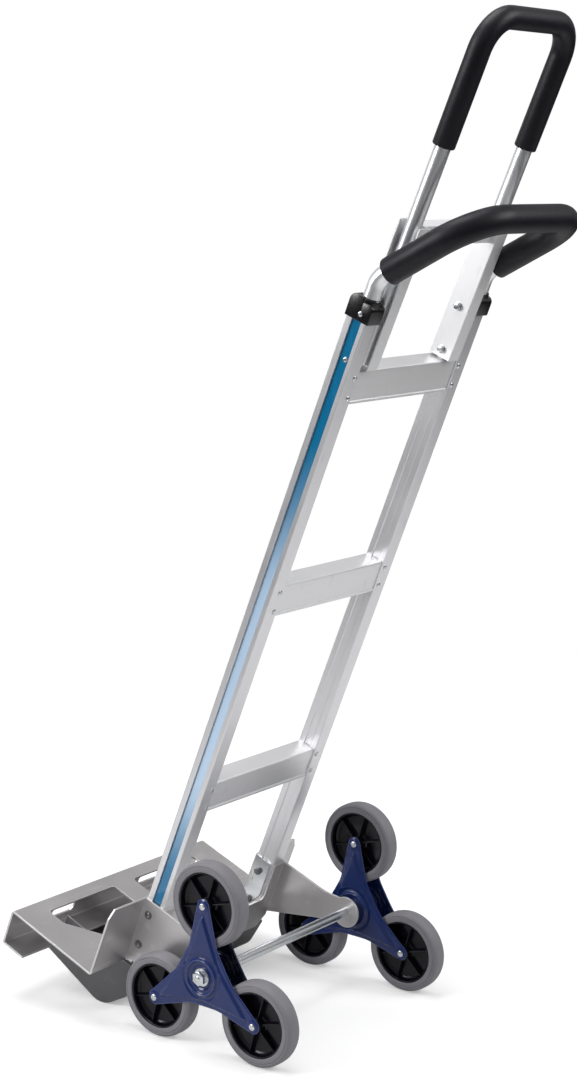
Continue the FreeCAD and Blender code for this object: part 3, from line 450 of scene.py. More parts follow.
@dataclass(frozen=True)
class Rubber(Finish):
    """Grey moulded rubber with a fine grain and a dusty tread."""

    def surface(self, graph: Graph) -> Surface:
        """Grain, dust and slight mottling.

        Args:
            graph: Node tree that the finish is built in.

        Returns:
            What changes over the finish.
        """
        grain = graph.noise(900.0, detail=3.0)
        dust = graph.noise(38.0, detail=7.0).between(0.42, 0.72)
        tone = graph.mix(shade(self.colour, 0.90), shade(self.colour, 1.10), grain)
        colour = graph.mix(tone, shade(self.colour, 1.35), dust * 0.25)
        roughness = grain * 0.12 + dust * 0.10 + (self.roughness - 0.08)
        return Surface(colour, roughness, grain, 0.05)


@dataclass(frozen=True)
class Moulded(Finish):
    """Moulded plastic with a spark-eroded grain and faint flow marks."""

    grain: float = 700.0
    grain_depth: float = 0.03

    def surface(self, graph: Graph) -> Surface:
        """Fine grain and flow marks.

        Args:
            graph: Node tree that the finish is built in.

        Returns:
            What changes over the finish.
        """
        grain = graph.noise(self.grain, detail=2.0)
        flow = graph.noise(30.0, (1.0, 0.4, 1.0), 4.0)
        colour = graph.mix(shade(self.colour, 0.80), shade(self.colour, 1.30), flow)
        roughness = grain * 0.10 + flow * 0.12 + (self.roughness - 0.11)
        return Surface(colour, roughness, grain, self.grain_depth)


@dataclass(frozen=True)
class Plated(Finish):
    """Zinc-plated steel: a fine spangle with darker passivated patches."""

    tint: Colour = (0.62, 0.60, 0.52)

    def surface(self, graph: Graph) -> Surface:
        """Spangle, turned lines and passivated patches.

        Args:
            graph: Node tree that the finish is built in.

        Returns:
            What changes over the finish.
        """
        spangle = graph.cells(260.0)
        patch = graph.noise(60.0, detail=5.0)
        turned = graph.noise(700.0, (1.0, 0.05, 0.05), 3.0)
        tone = graph.mix(self.colour, self.tint, patch.between(0.35, 0.75) * 0.35)
        colour = graph.mix(tone, shade(self.colour, 0.6), spangle.between(0.4, 0.9) * 0.05)
        roughness = patch * 0.08 + turned * 0.02 + (self.roughness - 0.05)
        return Surface(colour, roughness, patch, 0.0005)


@dataclass(frozen=True)
class Film(Finish):
    """Glossy coloured strip with a painted pale reflection along the middle of the rail."""

    # Colour of the painted reflection, and the heights in metres where it rises and falls away.
    pale: Colour = (0.50, 0.66, 0.84)
    low: float = 0.22
    high: float = 1.02

    def surface(self, graph: Graph) -> Surface:
        """Full colour at both ends, a painted pale reflection between, with drawn streaks.

        Args:
            graph: Node tree that the finish is built in.

        Returns:
            What changes over the finish.
        """
        height = graph.height()
        streaks = graph.noise(120.0, (1.0, 1.0, 0.02), 4.0)
        wave = graph.noise(5.0, (0.2, 0.2, 1.0), 2.0)
        # Painted reflection: a pale band painted into the colour between two heights along the rail.
        rise = height.between(self.low, self.low + 0.16)
        fall = 1.0 - height.between(self.high - 0.42, self.high - 0.12)
        painted_reflection = (rise * fall * (0.60 + wave * 0.75)).clamped()
        tone = graph.mix(shade(self.colour, 0.85), shade(self.colour, 1.2), streaks)
        colour = graph.mix(tone, self.pale, painted_reflection)
        roughness = streaks * 0.08 + wave * 0.06 + (self.roughness - 0.07)
        return Surface(colour, roughness, streaks, 0.01)


class Slot(Enum):
    """Material slots of the record."""

    RAIL = "rail_aluminium"
    RUNG = "rung_aluminium"
    TUBE = "tube_aluminium"
    CHANNEL = "channel_aluminium"
    FILM = "blue_film"
    PLASTIC = "black_plastic"
    FOAM = "black_foam"
    SHEET = "grey_paint"
    ZINC = "zinc_steel"
    BLUE = "blue_paint"
    DARK_BLUE = "dark_blue_paint"
    TYRE = "grey_tyre"
    RIM = "rim_plastic"


FINISHES: dict[Slot, Finish] = {
    # Rails, rungs and channel: slightly lighter edges, wear and a painted edge highlight.
    Slot.RAIL: Drawn("satin_rail", (0.78, 0.78, 0.80), 0.33, 0.76, edge_wear_and_painted_light=0.5, softened=0.8),
    Slot.RUNG: Drawn("satin_rung", (0.80, 0.80, 0.81), 0.38, 0.66, along=0, edge_wear_and_painted_light=0.5),
    Slot.TUBE: Drawn("bright_tube", (0.88, 0.89, 0.91), 0.36, 0.85, line_depth=0.004,
                     softened=0.0),
    Slot.CHANNEL: Drawn("pale_channel", (0.90, 0.90, 0.91), 0.40, 0.50, edge_wear_and_painted_light=0.3),
    # The strip's darker edges are painted shade in the rail's groove.
    Slot.FILM: Film("blue_strip", (0.005, 0.165, 0.34), 0.18, coat=0.4, softened=0.3, edge_wear_and_painted_light=0.85,
                    edge_and_dust_colour=(0.004, 0.035, 0.08)),
    Slot.PLASTIC: Moulded("black_cap", (0.006, 0.006, 0.007), 0.26, coat=0.2, softened=0.0),
    Slot.FOAM: Foam("grip_foam", (0.0065, 0.0060, 0.0095), 0.44, softened=0.0, specular=0.28),
    # Bright edges of the sheet: worn cut edges and a painted edge highlight.
    Slot.SHEET: Sheet("grey_sheet", (0.54, 0.525, 0.53), 0.35, 0.72, edge_wear_and_painted_light=1.0, wear_width=2.2,
                      edge_and_dust_colour=(0.88, 0.87, 0.86), softened=0.8),
    Slot.ZINC: Plated("zinc_plate", (0.62, 0.65, 0.68), 0.26, 0.95, softened=0.0),
    # Lighter blue along the stars' edges and ridges is a painted highlight.
    Slot.BLUE: Painted("royal_blue_paint", (0.004, 0.017, 0.105), 0.18, coat=0.30, specular=0.30,
                       softened=0.0,
                       edge_wear_and_painted_light=0.6, edge_and_dust_colour=(0.14, 0.18, 0.42), wear_width=2.4),
    # Deep blue: painted shade on the side that faces the wheels; lighter edges are a painted highlight.
    Slot.DARK_BLUE: ShadedBackPaint("deep_blue_paint", (0.005, 0.018, 0.100), 0.20, coat=0.3,
                                specular=0.30,
                                softened=0.0, edge_wear_and_painted_light=0.45, edge_and_dust_colour=(0.08, 0.11, 0.30),
                                wear_width=2.0),
    Slot.TYRE: Rubber("grey_rubber", (0.185, 0.180, 0.198), 0.58, softened=0.0),
    Slot.RIM: Moulded("black_rim", (0.003, 0.003, 0.006), 0.24, specular=0.20, coat=0.1,
                      softened=0.0),
}


BOLT_STEEL = Plated("bolt_steel", (0.22, 0.22, 0.23), 0.28, 0.95, softened=0.0)
# Darker sheet for the skid: painted shade under the toe plate; its lighter edges are wear and a painted edge
# highlight.
SHADED_SKID_SHEET = Sheet("skid_sheet_painted_shade", (0.13, 0.13, 0.135), 0.40, 0.55, edge_wear_and_painted_light=0.8,
                   edge_and_dust_colour=(0.45, 0.44, 0.44))


class Palette:
    """Builds each finish once."""

    def __init__(self) -> None:
        """Start with no material built."""
        self._made: dict[Slot, bpy.types.Material] = {}

    def material(self, slot: Slot) -> bpy.types.Material:
        """The material of a slot.

        Args:
            slot: Material slot of the record.

        Returns:
            The finished material.
        """
        if slot not in self._made:
            self._made[slot] = FINISHES[slot].material()
        return self._made[slot]

    def dress_nodes(self) -> None:
        """Give every node of the frame the finish of its own slot, and the skid a darker sheet that paints the
        shade under the toe plate.
        """
        skid = SHADED_SKID_SHEET.material()
        for subpart in frame["record"]["subparts"]:
            piece = frame["nodes"][subpart["node"]]
            # The skid gets the darker sheet that paints the shade under the toe plate.
            material = skid if subpart["node"] == "heel_skid" else self.material(Slot(subpart["material_slot"]))
            for place in piece.material_slots:
                place.material = material

    def dress(self, piece: bpy.types.Object, slot: Slot) -> None:
        """Give a new piece the finish of a slot.

        Args:
            piece: The new piece.
            slot: Material slot of the record.
        """
        piece.data.materials.clear()
        piece.data.materials.append(self.material(slot))


# --- Where things are ---


@dataclass(frozen=True)
class Stance:
    """The leaned frame: places are given across, back from the axle and up the rails, in mm."""

    axle: Vector
    lean: float = LEAN
    tilt: float = math.radians(1.5)
    pivot_back: float = HANDLE_LINE
    pivot_up: float = 897.0

    def at(self, across: float, back: float, up: float) -> Vector:
        """World place of a point of the leaned frame.

        Args:
            across: Distance from the middle plane, in mm.
            back: Distance back from the axle, in mm.
            up: Distance up the rails, in mm.

        Returns:
            The place in metres.
        """
        sine, cosine = math.sin(self.lean), math.cos(self.lean)
        return Vector((across * MM, self.axle.y + (up * sine + back * cosine) * MM,
                       self.axle.z + (up * cosine - back * sine) * MM))

    def extended(self, across: float, back: float, up: float) -> Vector:
        """World place of a point of the tall handle, which leans a little further.

        Args:
            across: Distance from the middle plane, in mm.
            back: Distance back from the axle, in mm.
            up: Distance up the rails, in mm.

        Returns:
            The place in metres.
        """
        sine, cosine = math.sin(self.tilt), math.cos(self.tilt)
        behind, above = back - self.pivot_back, up - self.pivot_up
        return self.at(across, self.pivot_back + behind * cosine + above * sine,
                       self.pivot_up + above * cosine - behind * sine)

    def up(self) -> Vector:
        """Direction up the rails."""
        return Vector((0.0, math.sin(self.lean), math.cos(self.lean)))

    def back(self) -> Vector:
        """Direction square to the rails, backwards."""
        return Vector((0.0, math.cos(self.lean), -math.sin(self.lean)))


def find_stance() -> Stance:
    """Stance from the left star's joint."""
    joint = next(each for each in frame["joints"] if each["name"] == "left_star_turn")
    return Stance(Vector((0.0, joint["pos_m"][1], joint["pos_m"][2])))


# --- Mesh bench ---


def deselect() -> None:
    """Select nothing."""
    for each in list(bpy.context.selected_objects):
        each.select_set(False)


class Bench:
    """One new mesh while it is shaped with edit-mode operators."""

    def __init__(self, name: str) -> None:
        """Take the active object, which a primitive has just made, and name it.

        Args:
            name: Name of the piece.
        """
        self.piece = bpy.context.view_layer.objects.active
        self.piece.name = name
        self.piece.data.name = name

    @classmethod
    def ring(cls, name: str, centre: Vector, along: Vector, radius: float, around: int) -> "Bench":
        """Start from an open ring of vertices across a direction.

        Args:
            name: Piece name.
            centre: Centre in metres.
            along: Direction of its axis.
            radius: Radius in metres.
            around: Number of vertices.

        Returns:
            The bench, in edit mode with the ring selected.
        """
        deselect()
        turn = along.to_track_quat("Z", "Y").to_euler()
        bpy.ops.mesh.primitive_circle_add(vertices=around, radius=radius, location=centre,
                                          rotation=turn)
        bench = cls(name)
        bench.settle()
        bench.edit()
        bpy.ops.mesh.select_all(action="SELECT")
        return bench

    @classmethod
    def chain(cls, name: str, places: list[Vector]) -> "Bench":
        """Start from a chain of edges through places, drawn by extruding one vertex.

        Args:
            name: Name of the piece.
            places: Places along the chain, in metres.

        Returns:
            The bench, in edit mode with all selected.
        """
        deselect()
        bpy.ops.mesh.primitive_circle_add(vertices=3, radius=0.001, location=places[0])
        bench = cls(name)
        bench.settle()
        bench.edit()
        bpy.ops.mesh.select_all(action="SELECT")
        bpy.ops.mesh.merge(type="CENTER")
        for here, there in zip(places, places[1:]):
            bpy.ops.mesh.extrude_region_move(TRANSFORM_OT_translate={"value": there - here})
        bpy.ops.mesh.select_all(action="SELECT")
        return bench

    @classmethod
    def block(cls, name: str, centre: Vector, sides: Vector, lean: float = 0.0) -> "Bench":
        """Start from a box, leaned back about X, with its size applied.

        Args:
            name: Name of the piece.
            centre: Centre in metres.
            sides: Lengths of its sides in metres.
            lean: Angle that it leans back.

        Returns:
            The bench, in object mode.
        """
        deselect()
        bpy.ops.mesh.primitive_cube_add(size=1.0, location=centre, rotation=(-lean, 0.0, 0.0),
                                        scale=sides)
        bench = cls(name)
        bench.settle()
        return bench

    def settle(self) -> None:
        """Put the place, turn and size into the mesh."""
        bpy.ops.object.transform_apply(location=True, rotation=True, scale=True)

    def edit(self) -> None:
        """Go into edit mode."""
        bpy.ops.object.mode_set(mode="EDIT")
        bpy.ops.mesh.select_mode(type="VERT")

    def leave(self) -> None:
        """Go back to object mode."""
        bpy.ops.object.mode_set(mode="OBJECT")

    def pick(self, test: Callable[[Vector], bool]) -> None:
        """Select the vertices whose place passes a test, and stay in edit mode.

        Args:
            test: Says whether a vertex is picked.
        """
        self.edit()
        bpy.ops.mesh.select_all(action="DESELECT")
        self.leave()
        for vertex in self.piece.data.vertices:
            vertex.select = test(vertex.co)
        self.edit()

    def pick_edges(self, test: Callable[[Vector, Vector], bool]) -> None:
        """Select the edges whose two ends pass a test, and stay in edit mode.

        Args:
            test: Says from both ends whether an edge is picked.
        """
        self.edit()
        bpy.ops.mesh.select_mode(type="EDGE")
        bpy.ops.mesh.select_all(action="DESELECT")
        self.leave()
        corners = self.piece.data.vertices
        for edge in self.piece.data.edges:
            first, second = (corners[number].co for number in edge.vertices)
            edge.select = test(first, second)
        bpy.ops.object.mode_set(mode="EDIT")

    def pull(self, move: Vector) -> None:
        """Extrude the selection by a move."""
        bpy.ops.mesh.extrude_region_move(TRANSFORM_OT_translate={"value": move})

    def swell(self, factor: float, centre: Vector) -> None:
        """Scale the selection about a place."""
        bpy.ops.transform.resize(value=(factor,) * 3, center_override=centre)

    def spin(self, angle: float, centre: Vector, axis: Vector, steps: int) -> None:
        """Sweep the selection round an axis, right-handed."""
        bpy.ops.mesh.spin(steps=steps, angle=-angle, center=centre, axis=axis)

    def bevel(self, width: float, segments: int) -> None:
        """Bevel the selected edges by a width in metres."""
        bpy.ops.mesh.bevel(offset=width, segments=segments, affect="EDGES")

    def close(self) -> None:
        """Merge doubles, turn faces outwards and leave edit mode."""
        bpy.ops.mesh.select_all(action="SELECT")
        bpy.ops.mesh.remove_doubles(threshold=1e-5)
        bpy.ops.mesh.normals_make_consistent(inside=False)
        self.leave()

    def modify(self, kind: str, **settings: object) -> None:
        """Add a modifier and apply it.

        Args:
            kind: Kind of the modifier.
            settings: Its properties, by name.
        """
        modifier = self.piece.modifiers.new(kind.lower(), kind)
        for name, setting in settings.items():
            setattr(modifier, name, setting)
        deselect()
        self.piece.select_set(True)
        bpy.context.view_layer.objects.active = self.piece
        bpy.ops.object.modifier_apply(modifier=modifier.name)

    def soften(self, width: float, segments: int, degrees: float) -> None:
        """Bevel every edge sharper than an angle by a width in mm."""
        self.modify("BEVEL", width=width * MM, segments=segments, limit_method="ANGLE",
                    angle_limit=math.radians(degrees))

    def smooth(self, degrees: float = 35.0) -> bpy.types.Object:
        """Shade smooth below an angle and give the piece back.

        Args:
            degrees: Sharpest angle that is smoothed.

        Returns:
            The piece.
        """
        deselect()
        self.piece.select_set(True)
        bpy.context.view_layer.objects.active = self.piece
        bpy.ops.object.shade_smooth_by_angle(angle=math.radians(degrees))
        return self.piece


def copied(piece: bpy.types.Object, name: str, change: Matrix) -> bpy.types.Object:
    """A copy with its own mesh, moved by a matrix that goes into the mesh.

    Args:
        piece: What is copied.
        name: Name of the copy.
        change: Move, turn or mirror in world space.

    Returns:
        The copy.
    """
    twin = piece.copy()
    twin.data = piece.data.copy()
    twin.name = name
    twin.data.name = name
    bpy.context.collection.objects.link(twin)
    twin.data.transform(change)
    if change.determinant() < 0:
        twin.data.flip_normals()
    return twin


def joined(name: str, pieces: list[bpy.types.Object]) -> bpy.types.Object:
    """Join pieces into the first and name it.

    Args:
        name: Name of the piece.
        pieces: What is joined.

    Returns:
        The joined piece.
    """
    deselect()
    for piece in pieces:
        piece.select_set(True)
    bpy.context.view_layer.objects.active = pieces[0]
    bpy.ops.object.join()
    pieces[0].name = name
    pieces[0].data.name = name
    return pieces[0]


def swept(name: str, corners: list[Vector], bend: float, radius: float, around: int = 40,
          steps: int = 14) -> Bench:
    """Pull a ring along straight runs and spin it round each corner.

    Args:
        name: Piece name.
        corners: Ends and corners of the line.
        bend: Radius of the line at each corner, in metres.
        radius: Radius of the ring.
        around: Vertices round the ring.
        steps: Rings in each bend.

    Returns:
        The bench, in edit mode with the last ring selected.
    """
    bench = Bench.ring(name, corners[0], (corners[1] - corners[0]).normalized(), radius, around)
    here = corners[0]
    for before, corner, after in zip(corners, corners[1:], corners[2:]):
        into, out = (corner - before).normalized(), (after - corner).normalized()
        turn = into.angle(out)
        reach = bend * math.tan(turn / 2)
        start = corner - into * reach
        bench.pull(start - here)
        inward = (out - into * out.dot(into)).normalized()
        bench.spin(turn, start + inward * bend, into.cross(inward), steps)
        here = corner + out * reach
    bench.pull(corners[-1] - here)
    return bench


def turned(name: str, outline: list[tuple[float, float]], centre: Vector, axis: Vector,
           steps: int) -> Bench:
    """Turn an outline of (along, radius) pairs in mm round an axis.

    Args:
        name: Piece name.
        outline: Places along the axis and their radii; a closed outline repeats its first place.
        centre: Where along is 0.
        axis: Axis direction.
        steps: Faces round the turn.

    Returns:
        The bench, closed and in object mode.
    """
    side = axis.orthogonal().normalized()
    places = [centre + axis * (along * MM) + side * (radius * MM) for along, radius in outline]
    bench = Bench.chain(name, places)
    bench.spin(math.tau, centre, axis, steps)
    bench.close()
    return bench


# --- Grips ---


@dataclass
class Grip:
    """A foam sleeve pushed over a bent tube, rolled in at both ends."""

    name: str
    corners: list[Vector]
    bend: float
    tube: float
    foam: float
    clearance: float = 0.05
    tuck: float = 6.0
    lip: float = 2.2

    def build(self, palette: Palette) -> bpy.types.Object:
        """Sweep the sleeve, close its ends on the tube and dress it.

        Args:
            palette: Finishes of the slots.

        Returns:
            The finished grip.
        """
        radius = self.foam / 2 * MM
        bench = swept(self.name, self.corners, self.bend * MM, radius, around=48)
        ends = ((self.corners[-1], self.corners[-2]), (self.corners[0], self.corners[1]))
        for number, (end, inner) in enumerate(ends):
            inward = (inner - end).normalized()
            if number:
                bench.leave()
                bench.pick(lambda place: (place - end).length < radius * 1.02)
            self._roll_end(bench, end, inward, radius)
        bench.close()
        bench.soften(self.lip, 3, 50)
        piece = bench.smooth(60)
        palette.dress(piece, Slot.FOAM)
        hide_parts(self.name.removesuffix("_foam"))
        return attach(piece, "frame")

    def _roll_end(self, bench: Bench, end: Vector, inward: Vector, radius: float) -> None:
        """Turn the selected end ring in to the tube and a little way along it.

        Args:
            bench: The sleeve in edit mode.
            end: Middle of the end ring.
            inward: Direction from the end along the tube.
            radius: Radius of the sleeve in metres.
        """
        bench.pull(Vector())
        bench.swell((self.tube / 2 + self.clearance) * MM / radius, end)
        bench.pull(inward * self.tuck * MM)
        bpy.ops.mesh.edge_face_add()


@dataclass
class Handles:
    """The two foam grips on the loop handle and the tall handle."""

    stance: Stance
    leg: float = 101.1
    tall_tube: float = 22.0
    tall_foam: float = 31.0
    loop_tube: float = 25.0
    loop_foam: float = 38.0
    tall_top: float = 1376.0
    tall_start: float = 1200.0
    tall_corner: float = 46.0
    loop_height: float = 1014.0
    loop_angle: float = math.radians(41.0)
    loop_reach: float = 170.0
    loop_start: float = 18.0
    loop_corner: float = 66.0

    def build(self, palette: Palette) -> None:
        """Build both grips.

        Args:
            palette: Finishes of the slots.
        """
        place = self.stance.extended
        ends = ((1, self.tall_start), (1, self.tall_top), (-1, self.tall_top),
                (-1, self.tall_start))
        tall = [place(side * self.leg, HANDLE_LINE, up) for side, up in ends]
        Grip("tall_handle_grip_foam", tall, self.tall_corner, self.tall_tube,
             self.tall_foam).build(palette)
        loop = [self._loop(1, self.loop_start), self._loop(1, self.loop_reach),
                self._loop(-1, self.loop_reach), self._loop(-1, self.loop_start)]
        Grip("loop_handle_grip_foam", loop, self.loop_corner, self.loop_tube,
             self.loop_foam).build(palette)

    def _loop(self, side: int, along: float) -> Vector:
        """A place on the loop's centre line, some way along its rising arm."""
        return self.stance.at(side * HANDLE_SIDE, HANDLE_LINE + along * math.sin(self.loop_angle),
                              self.loop_height + along * math.cos(self.loop_angle))


# --- Caps ---


@dataclass
class Cap:
    """Moulded rail cap: two halves with a rounded crest and a collar round the tube."""

    word: str
    side: float
    stance: Stance
    inner: float = 117.6
    outer: float = 147.9
    front: float = -169.9
    rear: float = -129.2
    bottom: float = 953.0
    top: float = 985.0
    parting: float = -147.0
    lap: float = 0.6
    front_rise: float = 2.0
    rear_drop: float = 5.0
    front_dome: float = 11.0
    rear_dome: float = 8.0
    collar: float = 14.8
    collar_bore: float = 12.6
    collar_foot: float = -14.0
    collar_lip: float = 1.2

    def build(self, palette: Palette) -> None:
        """Build, join and dress the cap.

        Args:
            palette: Finishes of the slots.
        """
        front = self._block("front", self.front, self.parting + self.lap,
                            self.top + self.front_rise, self.front_dome)
        rear = self._block("rear", self.parting - self.lap, self.rear, self.top - self.rear_drop,
                           self.rear_dome)
        piece = joined(f"{self.word}_cap_moulding", [front, rear, self._collar()])
        palette.dress(piece, Slot.PLASTIC)
        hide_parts(f"{self.word}_top_cap")
        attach(piece, "frame")

    def _block(self, part: str, front: float, rear: float, top: float,
               dome: float) -> bpy.types.Object:
        """One half of the cap, the top edge of its outer side rounded.

        Args:
            part: Which half.
            front: Its front face, in mm back from the axle.
            rear: Its rear face.
            top: Its top, in mm up the rails.
            dome: Radius of the outer top edge.

        Returns:
            The half.
        """
        middle = self.stance.at(self.side * (self.inner + self.outer) / 2, (front + rear) / 2,
                                (self.bottom + top) / 2)
        sides = Vector((self.outer - self.inner, rear - front, top - self.bottom)) * MM
        bench = Bench.block(f"{self.word}_cap_{part}", middle, sides, self.stance.lean)
        up, back = self.stance.up(), self.stance.back()
        outside = -1.0 if part == "front" else 1.0
        crest = middle.dot(up) + sides.z / 2 - 0.2 * MM
        face = middle.dot(back) + outside * (sides.y / 2 - 0.2 * MM)

        def outer_crest(first: Vector, second: Vector) -> bool:
            """The top edge on the half's own outer side."""
            return all(end.dot(up) > crest and (end.dot(back) - face) * outside > 0 for end in (first, second))

        bench.pick_edges(outer_crest)
        bench.bevel(dome * MM, 8)
        bench.leave()
        bench.soften(1.6, 3, 50)
        return bench.smooth(40)

    def _collar(self) -> bpy.types.Object:
        """Rounded collar where the handle tube leaves the cap.

        Returns:
            The collar.
        """
        seat = self.stance.at(self.side * HANDLE_SIDE, HANDLE_LINE, self.top)
        outline = [
            (self.collar_foot, self.collar_bore),
            (self.collar_foot, self.collar),
            (-1.0, self.collar),
            (self.collar_lip, self.collar - 1.6),
            (self.collar_lip, self.collar_bore),
        ]
        bench = turned(f"{self.word}_cap_collar", outline + outline[:1], seat, self.stance.up(), 40)
        bench.soften(0.5, 2, 30)
        return bench.smooth(40)


# --- Wheels ---


def mirrored(side: list[tuple[float, float]]) -> list[tuple[float, float]]:
    """A closed outline from its half on one side of the middle."""
    outline = side + [(-along, radius) for along, radius in reversed(side)]
    return outline + outline[:1]


@dataclass
class Wheel:
    """Grey tyre on a ribbed rim, modelled at one place and copied to the other five."""

    radius: float = 62.25
    half: float = 13.5
    bead: float = 48.0
    rim_half: float = 12.5
    wall: float = 3.0
    web: float = 2.0
    hub: float = 11.0
    hub_half: float = 15.25
    bore: float = 4.05
    ribs: int = 6
    rib_width: float = 22.0
    rib_thickness: float = 2.5
    rib_taper: tuple[float, float, float] = (0.78, 0.72, 1.0)

    def tyre(self, name: str, centre: Vector) -> bpy.types.Object:
        """Tyre with a raised sidewall band, a fine groove below the shoulder and a crowned tread.

        Args:
            name: Name of the piece.
            centre: Centre in metres.

        Returns:
            The tyre.
        """
        side = [
            (self.half - 1.2, self.bead),
            (self.half, self.bead + 1.2),
            (self.half, self.bead + 7.4),
            (self.half - 0.9, self.bead + 7.9),
            (self.half - 0.9, self.bead + 8.7),
            (self.half - 0.3, self.bead + 9.2),
            (self.half - 1.2, self.radius - 3.0),
            (self.half - 3.0, self.radius - 1.1),
            (self.half - 6.0, self.radius - 0.25),
            (self.half - 10.0, self.radius),
        ]
        bench = turned(name, mirrored(side), centre, ACROSS, 96)
        bench.soften(0.35, 2, 28)
        return bench.smooth(40)

    def rim(self, name: str, centre: Vector) -> bpy.types.Object:
        """Rim with stepped lips, dished web, stout hub and ribs on both faces.

        Args:
            name: Name of the piece.
            centre: Centre in metres.

        Returns:
            The rim.
        """
        inner = self.bead - self.wall
        side = [
            (self.hub_half, self.bore),
            (self.hub_half, self.hub - 1.0),
            (self.hub_half - 1.0, self.hub),
            (self.web + 2.0, self.hub + 0.8),
            (self.web, self.hub + 3.0),
            (self.web, inner - 4.0),
            (self.web + 2.5, inner - 1.0),
            (self.rim_half - 1.5, inner),
            (self.rim_half, inner + 0.8),
            (self.rim_half, self.bead + 0.4),
        ]
        body = turned(name, mirrored(side), centre, ACROSS, 72)
        body.soften(0.4, 2, 30)
        pieces = [body.smooth(40)]
        first = self._rib(f"{name}_rib", centre, inner)
        pieces.append(first)
        for number in range(1, self.ribs):
            turn = Matrix.Rotation(math.tau * number / self.ribs, 4, "X")
            about = Matrix.Translation(centre) @ turn @ Matrix.Translation(-centre)
            pieces.append(copied(first, f"{name}_rib_{number}", about))
        return joined(name, pieces)

    def _rib(self, name: str, centre: Vector, inner: float) -> bpy.types.Object:
        """One rib, deeper and thicker at the hub than at the rim.

        Args:
            name: Name of the piece.
            centre: Centre in metres.
            inner: Inner radius of the rim in mm.

        Returns:
            The rib.
        """
        low, high = self.hub - 1.0, inner + 0.6
        middle = centre + Vector((0.0, 0.0, (low + high) / 2 * MM))
        bench = Bench.block(name, middle,
                            Vector((self.rib_width, self.rib_thickness, high - low)) * MM)
        bench.pick(lambda place: place.z > middle.z)
        bpy.ops.transform.resize(value=self.rib_taper, center_override=middle)
        bench.leave()
        bench.pick_edges(lambda first, second: abs((second - first).normalized().z) > 0.9)
        bench.bevel(0.7 * MM, 3)
        bench.close()
        return bench.smooth(40)


# --- Stars ---


